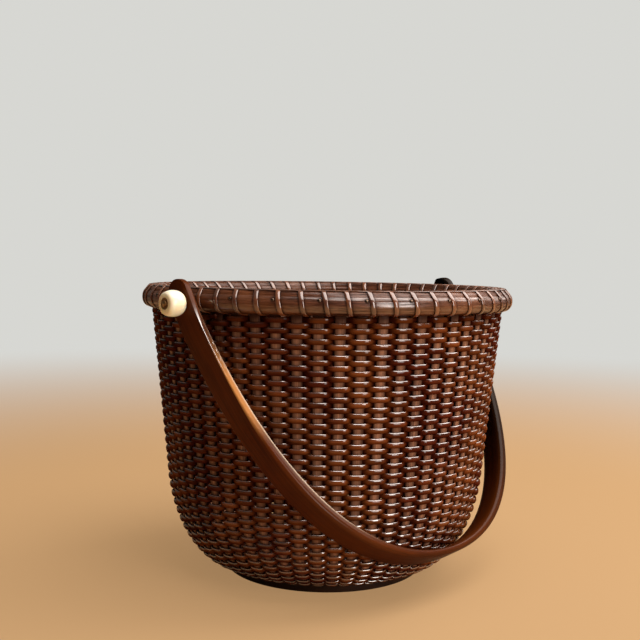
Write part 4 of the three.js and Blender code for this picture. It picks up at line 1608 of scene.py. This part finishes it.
        return shapes, np.concatenate([edge, edge[mirror]]), np.concatenate([sharp, sharp[mirror]])

    def build(self) -> None:
        """Carries the section along the line, cuts the rivets' holes and dresses the piece."""
        lay = self.layout
        lean = math.radians(self.hang_angle)
        down = np.array([0, -math.cos(lean), -math.sin(lean)])
        up = np.array([0, -math.sin(lean), math.cos(lean)])
        across = np.array([1.0, 0, 0])
        pivot = np.array([0, -lay.pivot_offset, lay.pivot_height])
        line, half, thickness, softness = self.stations()
        along = unit(np.gradient(line, axis=0))
        outward = pairs(along[:, 1], -along[:, 0])
        shapes, edge, sharp = self.sections(half, thickness, softness)
        flat = line[:, None, :] + outward[:, None, :] * shapes[..., 1:2]
        points = pivot + across * flat[..., 0:1] + down * flat[..., 1:2] + up * shapes[..., 0:1]
        run = length_along(line)
        left = run[-1] - run
        shape = shapes[len(shapes) // 2]
        upper = np.clip(4 * shape[:, 0] / self.width, 0, 1)[None, :]
        # The first mask is the orange edge, partly rubbed-off stain and partly painted light; the third
        # paints a highlight line on the inner upper edge.
        orange, gleam, bare = (stretch.along(left)[:, None] * upper
                               for stretch in (self.orange, self.gleam, self.bare))
        # The darker stretch on the right arm is painted shade.
        tone = self.pale.along(left) + self.dark.along(run)
        skin = Skin(points, capped=True, pattern=pairs(run[:, None], length_round(shape)[None, :]),
                    values={"tone": tone[:, None], "dirt": edge[None, :] * (self.stained + orange),
                            "polish": edge[None, :] * gleam, "bare": sharp[None, :] * bare})
        handle = skin.to_object("bent_handle", self.crease)
        self._drill(handle)
        dress(handle, HANDLE, HANDLE_BODY, "swing_handle")

    def _drill(self, handle: Object) -> None:
        """Cuts a hole for each rivet's shank through the ears.

        Args:
            handle: the handle's object, whose mesh is changed.
        """
        lay = self.layout
        turn = full_turn(self.hole_sides)
        level = self.hole_radius * np.cos(turn) - lay.pivot_offset
        height = self.hole_radius * np.sin(turn) + lay.pivot_height
        ear = np.array([self.ear_inner - self.drill_past, self.ear_outer + self.drill_past])
        for side in Side:
            points = np.broadcast_arrays(side.value * ear[:, None], level[None], height[None])
            cutter = Skin(np.stack(points, axis=-1), capped=True).to_object("ear_drill")
            cut = handle.modifiers.new("hole", "BOOLEAN")
            cut.operation = "DIFFERENCE"
            cut.object = cutter
            cut.solver = "EXACT"
            depsgraph = bpy.context.evaluated_depsgraph_get()
            drilled = bpy.data.meshes.new_from_object(handle.evaluated_get(depsgraph))
            handle.modifiers.clear()
            handle.data = drilled
            bpy.data.objects.remove(cutter)


@dataclass
class Pivots:
    """The knobs, rivets and burrs that carry the handle on both sides.

    Attributes:
        running: gap between moving pieces, and round a shank.
        face_ramp: slope, drop and most of the dirt towards a knob's faces.
        seat_dirt: dirt at the edge and in the corners of its seat for the burr.
        burr_lip: width of the hollow round its hole, and its two depths.
        burr_rubbed: how rubbed the two sides of its eased edge are.
        pole: angle that a dome stops short of its middle, in radians.
        rubbed_head: how rubbed the head is in its middle and at its edge.
    """

    layout: Layout
    handle: SwingHandle
    knob_radius: float = 7.5
    knob_length: float = 11.2
    knob_face: float = 4.9
    knob_points: int = 22
    shank_radius: float = 1.25
    running: float = 0.3
    bore_dirt: float = 0.8
    face_ramp: tuple[float, float, float] = (1.2, 0.75, 0.5)
    seat_dirt: tuple[float, float, float] = (0.6, 1.0, 1.0)
    burr_radius: float = 3.3
    burr_thickness: float = 1.0
    burr_gap: float = 0.1
    burr_hole: float = 0.15
    burr_ease: float = 0.2
    burr_lip: tuple[float, float, float] = (0.6, 0.05, 0.25)
    burr_rubbed: Pair = (0.12, 0.15)
    head_radius: float = 3.2
    head_height: float = 1.4
    head_edge: float = 0.25
    head_points: int = 7
    peen_radius: float = 1.9
    peen_gap: float = 0.02
    peen_edge: float = 0.15
    peen_height: float = 0.83
    peen_points: int = 6
    pole: Pair = (0.04, 0.05)
    rubbed_head: Pair = (0.7, 0.1)
    sides: int = 56
    crease: float = 40.0

    @property
    def knob_inner(self) -> float:
        """Distance of the knob's inner end from the middle."""
        return self.handle.ear_outer + self.running

    @property
    def knob_outer(self) -> float:
        """Distance of the knob's outer face from the middle."""
        return self.knob_inner + self.knob_length

    def _make(self, kind: str, node: str, side: Side, profile: Array, closed: bool,
              finish: BoneFinish | MetalFinish, **values: Array) -> None:
        """Turns a profile of [radius, distance] pairs about the pivots' line and dresses the piece.

        Args:
            kind: the piece's name without its side.
            node: its CAD node's name without its side.
            side: which pivot it is for.
            profile: the pairs.
            closed: whether the profile closes on itself, as round a bore.
            finish: the piece's finish.
            **values: numbers for each pair that the finish reads.
        """
        turn = full_turn(self.sides)
        radius, reach = profile[:, 0:1], profile[:, 1:2]
        points = np.stack(np.broadcast_arrays(reach * side.value,
                                              radius * np.cos(turn) - self.layout.pivot_offset,
                                              radius * np.sin(turn) + self.layout.pivot_height),
                          axis=-1)
        spread = {key: numbers[:, None] for key, numbers in values.items()}
        skin = Skin(points, ring=closed, capped=not closed, values=spread)
        ending = side.name.lower()
        made = skin.to_object(f"{kind}_{ending}", self.crease)
        dress(made, finish, BASKET_BODY, f"{node}_{ending}")

    def knob(self, side: Side) -> None:
        """Makes a knob: a flattened ball with a flat face, a bore and a seat for the burr.

        Radius = face + (largest - face) sqrt(1 - (2 t - 1)^2) along its length.

        Args:
            side: which pivot it is for.
        """
        share = (1 - np.cos(np.linspace(0, math.pi, self.knob_points))) / 2
        bulge = np.sqrt(np.maximum(1 - (2 * share - 1) ** 2, 0))
        outside = pairs(self.knob_face + (self.knob_radius - self.knob_face) * bulge,
                        self.knob_inner + self.knob_length * share)
        bore = self.shank_radius + self.running
        seat = self.burr_radius + self.burr_gap
        floor = self.knob_outer - self.burr_thickness - self.burr_gap
        profile = np.concatenate([[[bore, self.knob_inner]], outside,
                                  [[seat, self.knob_outer], [seat, floor], [bore, floor]]])
        dirt = np.concatenate([[self.bore_dirt], ramp(np.abs(2 * share - 1), *self.face_ramp),
                               self.seat_dirt])
        self._make("bone_knob", "knob", side, profile, True, BONE, dirt=dirt)

    def burr(self, side: Side) -> None:
        """Makes the burr: a thin washer with eased edges, sunk in the knob's face.

        Args:
            side: which pivot it is for.
        """
        radius, ease = self.burr_radius, self.burr_ease
        hole = self.shank_radius + self.burr_hole
        low, high = self.knob_outer - self.burr_thickness, self.knob_outer
        lip, outer_sink, inner_sink = self.burr_lip
        profile = np.array([[hole, low], [radius, low], [radius, high - ease], [radius - ease, high],
                            [hole + lip, high - outer_sink], [hole, high - inner_sink]])
        rubbed = np.array([0, 0, *self.burr_rubbed, 0, 0])
        self._make("metal_burr", "burr", side, profile, True, RIVET, rubbed=rubbed)

    def rivet(self, side: Side) -> None:
        """Makes the rivet: a domed head inside the basket, the shank and the peened end.

        Args:
            side: which pivot it is for.
        """
        lay = self.layout
        lashing = lay.inner_face - lay.hoop_depth - lay.lashing_gap - lay.strap_thickness
        face = math.sqrt(lashing ** 2 - (lay.pivot_offset + self.head_radius) ** 2) - lay.seat
        dome = np.linspace(math.pi / 2 - self.pole[0], 0, self.head_points)
        head = pairs(self.head_radius * np.cos(dome),
                     face - self.head_edge - (self.head_height - self.head_edge) * np.sin(dome))
        end = self.knob_outer + self.peen_gap
        peen = np.linspace(0, math.pi / 2 - self.pole[1], self.peen_points)
        top = pairs(self.peen_radius * np.cos(peen),
                    end + self.peen_edge + self.peen_height * np.sin(peen))
        shank = [[self.head_radius, face], [self.shank_radius, face], [self.shank_radius, end],
                 [self.peen_radius, end]]
        rubbed = np.concatenate([np.linspace(*self.rubbed_head, self.head_points),
                                 np.zeros(len(shank)), np.linspace(0, 1, self.peen_points) ** 3])
        profile = np.concatenate([head, shank, top])
        self._make("copper_rivet", "rivet", side, profile, False, RIVET, rubbed=rubbed)

    def build(self) -> None:
        """Makes knob, burr and rivet on each side."""
        for side in Side:
            self.knob(side)
            self.burr(side)
            self.rivet(side)


@dataclass
class TurnedBase:
    """The turned disc that the staves stand in, with the plug in its middle."""

    layout: Layout
    thickness: float = 12.0
    edge_round: float = 0.8
    edge_points: int = 5
    kerf_depth: float = 8.0
    plug_radius: float = 6.0
    plug_depth: float = 6.0
    plug_gap: float = 0.05
    plug_crown: float = 0.15
    plug_points: int = 6
    line_radius: float = 40.0
    line_width: float = 1.2
    line_depth: float = 0.6
    line_points: int = 7
    under_radii: tuple[float, ...] = (0.05, 20.0, 45.0)
    top_radius: float = 25.0
    pole: float = 0.02
    sides: int = 160
    plug_sides: int = 48
    crease: float = 35.0

    def plate(self) -> None:
        """Makes the disc from its profile: underside, edge with the kerf, and top with its line."""
        lay = self.layout
        ease = np.linspace(0, math.pi / 2, self.edge_points)
        inset, rise = (self.edge_round * (1 - way) for way in (np.sin(ease), np.cos(ease)))
        radius, floor = lay.base_radius, lay.base_radius - self.kerf_depth
        kerf_low = lay.turn_bottom + lay.float_thickness
        kerf_high = kerf_low + lay.stave_thickness + 2 * lay.seat
        turn = np.linspace(0, math.pi, self.line_points)
        line = pairs(self.line_radius + self.line_width / 2 * np.cos(turn),
                     self.thickness - self.line_depth * np.sin(turn))
        seat = self.plug_radius + self.plug_gap
        bottom = self.thickness - self.plug_depth - lay.seat
        profile = np.concatenate([
            pairs(np.array(self.under_radii), 0), pairs(radius - inset, rise),
            [[radius, kerf_low], [floor, kerf_low], [floor, kerf_high], [radius, kerf_high]],
            pairs(radius - rise, self.thickness - inset), line,
            [[self.top_radius, self.thickness], [seat, self.thickness], [seat, bottom],
             [self.under_radii[0], bottom]]])
        made = Skin(turned_round(profile, self.sides), capped=True)
        dress(made.to_object("turned_disc", self.crease), BASE, BASKET_BODY, "base_plate")

    def plug(self) -> None:
        """Makes the plug, its top a little crowned."""
        rise = np.linspace(0, math.pi / 2 - self.pole, self.plug_points)
        top = pairs(self.plug_radius * np.cos(rise),
                    self.thickness - self.plug_crown + self.plug_crown * np.sin(rise))
        bottom = self.thickness - self.plug_depth
        profile = np.concatenate([[[self.pole, bottom], [self.plug_radius, bottom]], top])
        made = Skin(turned_round(profile, self.plug_sides), capped=True)
        dress(made.to_object("wood_plug", self.crease), BASE, BASKET_BODY, "base_plug")

    def build(self) -> None:
        """Makes disc and plug."""
        self.plate()
        self.plug()


@dataclass(frozen=True)
class Lamp:
    """A soft rectangular lamp that looks at the basket's middle.

    Attributes:
        toward: direction from the basket to the lamp, x right, y away from the camera, z up.
        along: rough direction of the lamp's first side, in the same axes.
        size: length of the lamp's two sides in metres.
    """

    name: str
    toward: Direction
    along: Direction
    size: tuple[float, float]
    power: float
    colour: Colour = (1.0, 0.92, 0.86)


@dataclass
class Stage:
    """Camera at the photograph's viewpoint, pale floor, pale surroundings and soft light.

    Distances are in metres and angles in degrees.

    Attributes:
        yaw: how far the camera looks to the right of the basket's middle.
        roll: how far it leans to the right.
        basket_turn: angle of the camera's heading in the frame's axes.
        floor_drop: how far the floor lies under the base, in millimetres.
        floor_seen: plain colour that is mixed into the floor's for the camera.
        floor_fade: distances between which the floor takes the background's colour.
        gloss_share: share of the background that shows in reflections.
        lamp_aim: height of the point that the lamps look at.
        world_light: strength of the surroundings' light away from its bright side and at it.
        world_bounds: cosines of the angle to the bright side between which the strength grows.
        world_toward: direction of the bright side, x right, y away from the camera, z up.
    """

    picture_width: float = 640.0
    focal_pixels: float = 961.0
    sensor_width: float = 36.0
    camera_distance: float = 0.6325
    camera_height: float = 0.19975
    pitch: float = 3.52
    yaw: float = -0.40
    roll: float = 0.81
    basket_turn: float = 42.83
    floor_rings: tuple[float, ...] = (0.0001, 0.2, 0.5, 1.0, 2.0, 6.0)
    floor_sides: int = 64
    floor_drop: float = 0.05
    floor_colour: Colour = (0.5, 0.325, 0.17)
    floor_seen: Colour = (0.64, 0.375, 0.175)
    floor_share: float = 0.55
    floor_fade: Pair = (0.3, 1.6)
    surround_colour: Colour = (0.68, 0.68, 0.65)
    gloss_share: float = 0.06
    lamps: tuple[Lamp, ...] = (
        Lamp("skylight", (0.47, -0.08, 0.88), (0.76, 0.6, -0.27), size=(2.0, 1.1), power=33.5),
        Lamp("window", (0.63, -0.74, 0.22), (0.76, 0.65, 0.0), size=(0.5, 0.8), power=9.0),
        Lamp("far_window", (0.66, 0.6, 0.45), (0.78, -0.62, 0.0), size=(0.8, 0.8), power=3.5))
    lamp_distance: float = 1.3
    lamp_aim: float = 0.1
    world_light: Pair = (0.03, 0.34)
    world_bounds: Pair = (-0.3, 1.0)
    world_colour: Colour = (1.0, 0.87, 0.74)
    world_toward: Direction = (0.5, 0.35, 0.8)

    def to_frame(self, vector: Array | Direction) -> Array:
        """Turns a vector from the camera's heading into the frame's axes.

        Args:
            vector: x right, y away from the camera and z up.

        Returns:
            The turned vector.
        """
        turn = math.radians(self.basket_turn)
        x, y, z = vector
        return np.array([x * math.sin(turn) + y * math.cos(turn),
                         -x * math.cos(turn) + y * math.sin(turn), z])

    @staticmethod
    def _put(made: Object, place: Vector, axes: tuple[Array, Array, Array]) -> None:
        """Puts an object into the scene.

        Args:
            made: the object.
            place: where it goes.
            axes: where its own x, y and z point.
        """
        turned = Matrix(np.stack(axes, axis=-1).tolist()).to_4x4()
        made.matrix_world = Matrix.Translation(place) @ turned
        bpy.context.scene.collection.objects.link(made)

    @staticmethod
    def _emptied(owner: Material | World) -> NodeTree:
        """Empties a node tree.

        Args:
            owner: the material or world that has the tree.

        Returns:
            The tree.
        """
        owner.use_nodes = True
        owner.node_tree.nodes.clear()
        return owner.node_tree

    def camera(self) -> None:
        """Makes the camera from its heading, pitch and roll."""
        pitch, yaw, roll = (math.radians(angle) for angle in (self.pitch, self.yaw, self.roll))
        forward = np.array([math.sin(yaw) * math.cos(pitch), math.cos(yaw) * math.cos(pitch),
                            -math.sin(pitch)])
        level = unit(np.cross(forward, [0, 0, 1]))
        square = np.cross(level, forward)
        right = math.cos(roll) * level + math.sin(roll) * square
        up = math.cos(roll) * square - math.sin(roll) * level
        data = bpy.data.cameras.new("viewpoint")
        data.sensor_width = self.sensor_width
        data.lens = self.focal_pixels / self.picture_width * self.sensor_width
        made = bpy.data.objects.new("viewpoint", data)
        place = Vector(self.to_frame((0, -self.camera_distance, self.camera_height)))
        self._put(made, place, (self.to_frame(right), self.to_frame(up), self.to_frame(-forward)))
        bpy.context.scene.camera = made

    def light(self, lamp: Lamp) -> None:
        """Makes a lamp.

        Args:
            lamp: what the lamp is like.
        """
        data = bpy.data.lights.new(lamp.name, "AREA")
        data.shape = "RECTANGLE"
        data.size, data.size_y = lamp.size
        data.energy = lamp.power
        data.color = lamp.colour
        back = unit(self.to_frame(lamp.toward))
        first = self.to_frame(lamp.along)
        first = unit(first - back * (first @ back))
        place = Vector(back * self.lamp_distance) + Vector((0, 0, self.lamp_aim))
        self._put(bpy.data.objects.new(lamp.name, data), place, (first, np.cross(back, first), back))

    def seen_share(self, tree: NodeTree) -> NodeSocket:
        """How much of the plain background a ray meets: all for the camera, a part in reflections.

        Args:
            tree: the node tree to add to.

        Returns:
            The socket that gives the share.
        """
        ray = add_node(tree, "LightPath").outputs
        clear = calculate(tree, "MAXIMUM", ray["Is Camera Ray"], ray["Is Transmission Ray"])
        gloss = calculate(tree, "MULTIPLY", ray["Is Glossy Ray"], self.gloss_share)
        return calculate(tree, "MAXIMUM", clear, gloss)

    def surroundings(self) -> None:
        """Makes the world: light that grows towards one side, and the pale background that shows."""
        world = bpy.data.worlds.new("surroundings")
        bpy.context.scene.world = world
        tree = self._emptied(world)
        toward = Vector(self.to_frame(self.world_toward)).normalized()
        facing = add_node(tree, "VectorMath", operation="DOT_PRODUCT",
                          in_0=add_node(tree, "TexCoord").outputs["Generated"], in_1=toward)
        strength = remap(tree, facing.outputs["Value"], self.world_bounds, self.world_light,
                         shape="SMOOTHSTEP")
        light = add_node(tree, "Background", in_Color=opaque(self.world_colour), in_Strength=strength)
        seen = add_node(tree, "Background", in_Color=opaque(self.surround_colour), in_Strength=1.0)
        mixed = add_node(tree, "MixShader", in_0=self.seen_share(tree), in_1=light.outputs[0],
                         in_2=seen.outputs[0])
        add_node(tree, "OutputWorld", in_0=mixed.outputs[0])

    def floor_material(self) -> Material:
        """Builds the floor's material, which away from the basket takes the background's colour.

        Returns:
            The new material.
        """
        made = bpy.data.materials.new("pale_floor")
        tree = self._emptied(made)
        distance = add_node(tree, "VectorMath", operation="LENGTH",
                            in_0=add_node(tree, "TexCoord").outputs["Object"])
        far = remap(tree, distance.outputs["Value"], self.floor_fade, shape="SMOOTHSTEP")
        shown = self.seen_share(tree)
        lit = add_node(tree, "BsdfDiffuse", in_Color=opaque(self.floor_colour))
        plain = add_node(tree, "Emission", in_Color=opaque(self.floor_seen), in_Strength=1.0)
        near = add_node(tree, "MixShader", in_0=calculate(tree, "MULTIPLY", shown, self.floor_share),
                        in_1=lit.outputs[0], in_2=plain.outputs[0])
        away = add_node(tree, "Emission", in_Color=opaque(self.surround_colour), in_Strength=1.0)
        mixed = add_node(tree, "MixShader", in_0=calculate(tree, "MULTIPLY", far, shown),
                         in_1=near.outputs[0], in_2=away.outputs[0])
        add_node(tree, "OutputMaterial", in_0=mixed.outputs[0])
        return made

    def floor(self) -> None:
        """Makes the floor: a disc of rings about the basket's axis."""
        rings = pairs(np.array(self.floor_rings) / MM, -self.floor_drop)
        floor = Skin(turned_round(rings, self.floor_sides)).to_object("floor")
        floor.data.materials.append(self.floor_material())

    def build(self) -> None:
        """Sets the stage."""
        bpy.context.scene.view_settings.view_transform = "Standard"
        self.camera()
        self.surroundings()
        self.floor()
        for lamp in self.lamps:
            self.light(lamp)


def main() -> None:
    """Builds the stage and every piece of the basket."""
    logging.basicConfig(level=logging.INFO, format="%(name)s: %(message)s")
    layout = Layout()
    outline = WallOutline(layout)
    handle = SwingHandle(layout)
    Stage().build()
    TurnedBase(layout).build()
    Staves(layout, outline).build()
    Weave(layout, outline).build()
    Rim(layout).build()
    handle.build()
    Pivots(layout, handle).build()


if __name__ == "__main__":
    main()
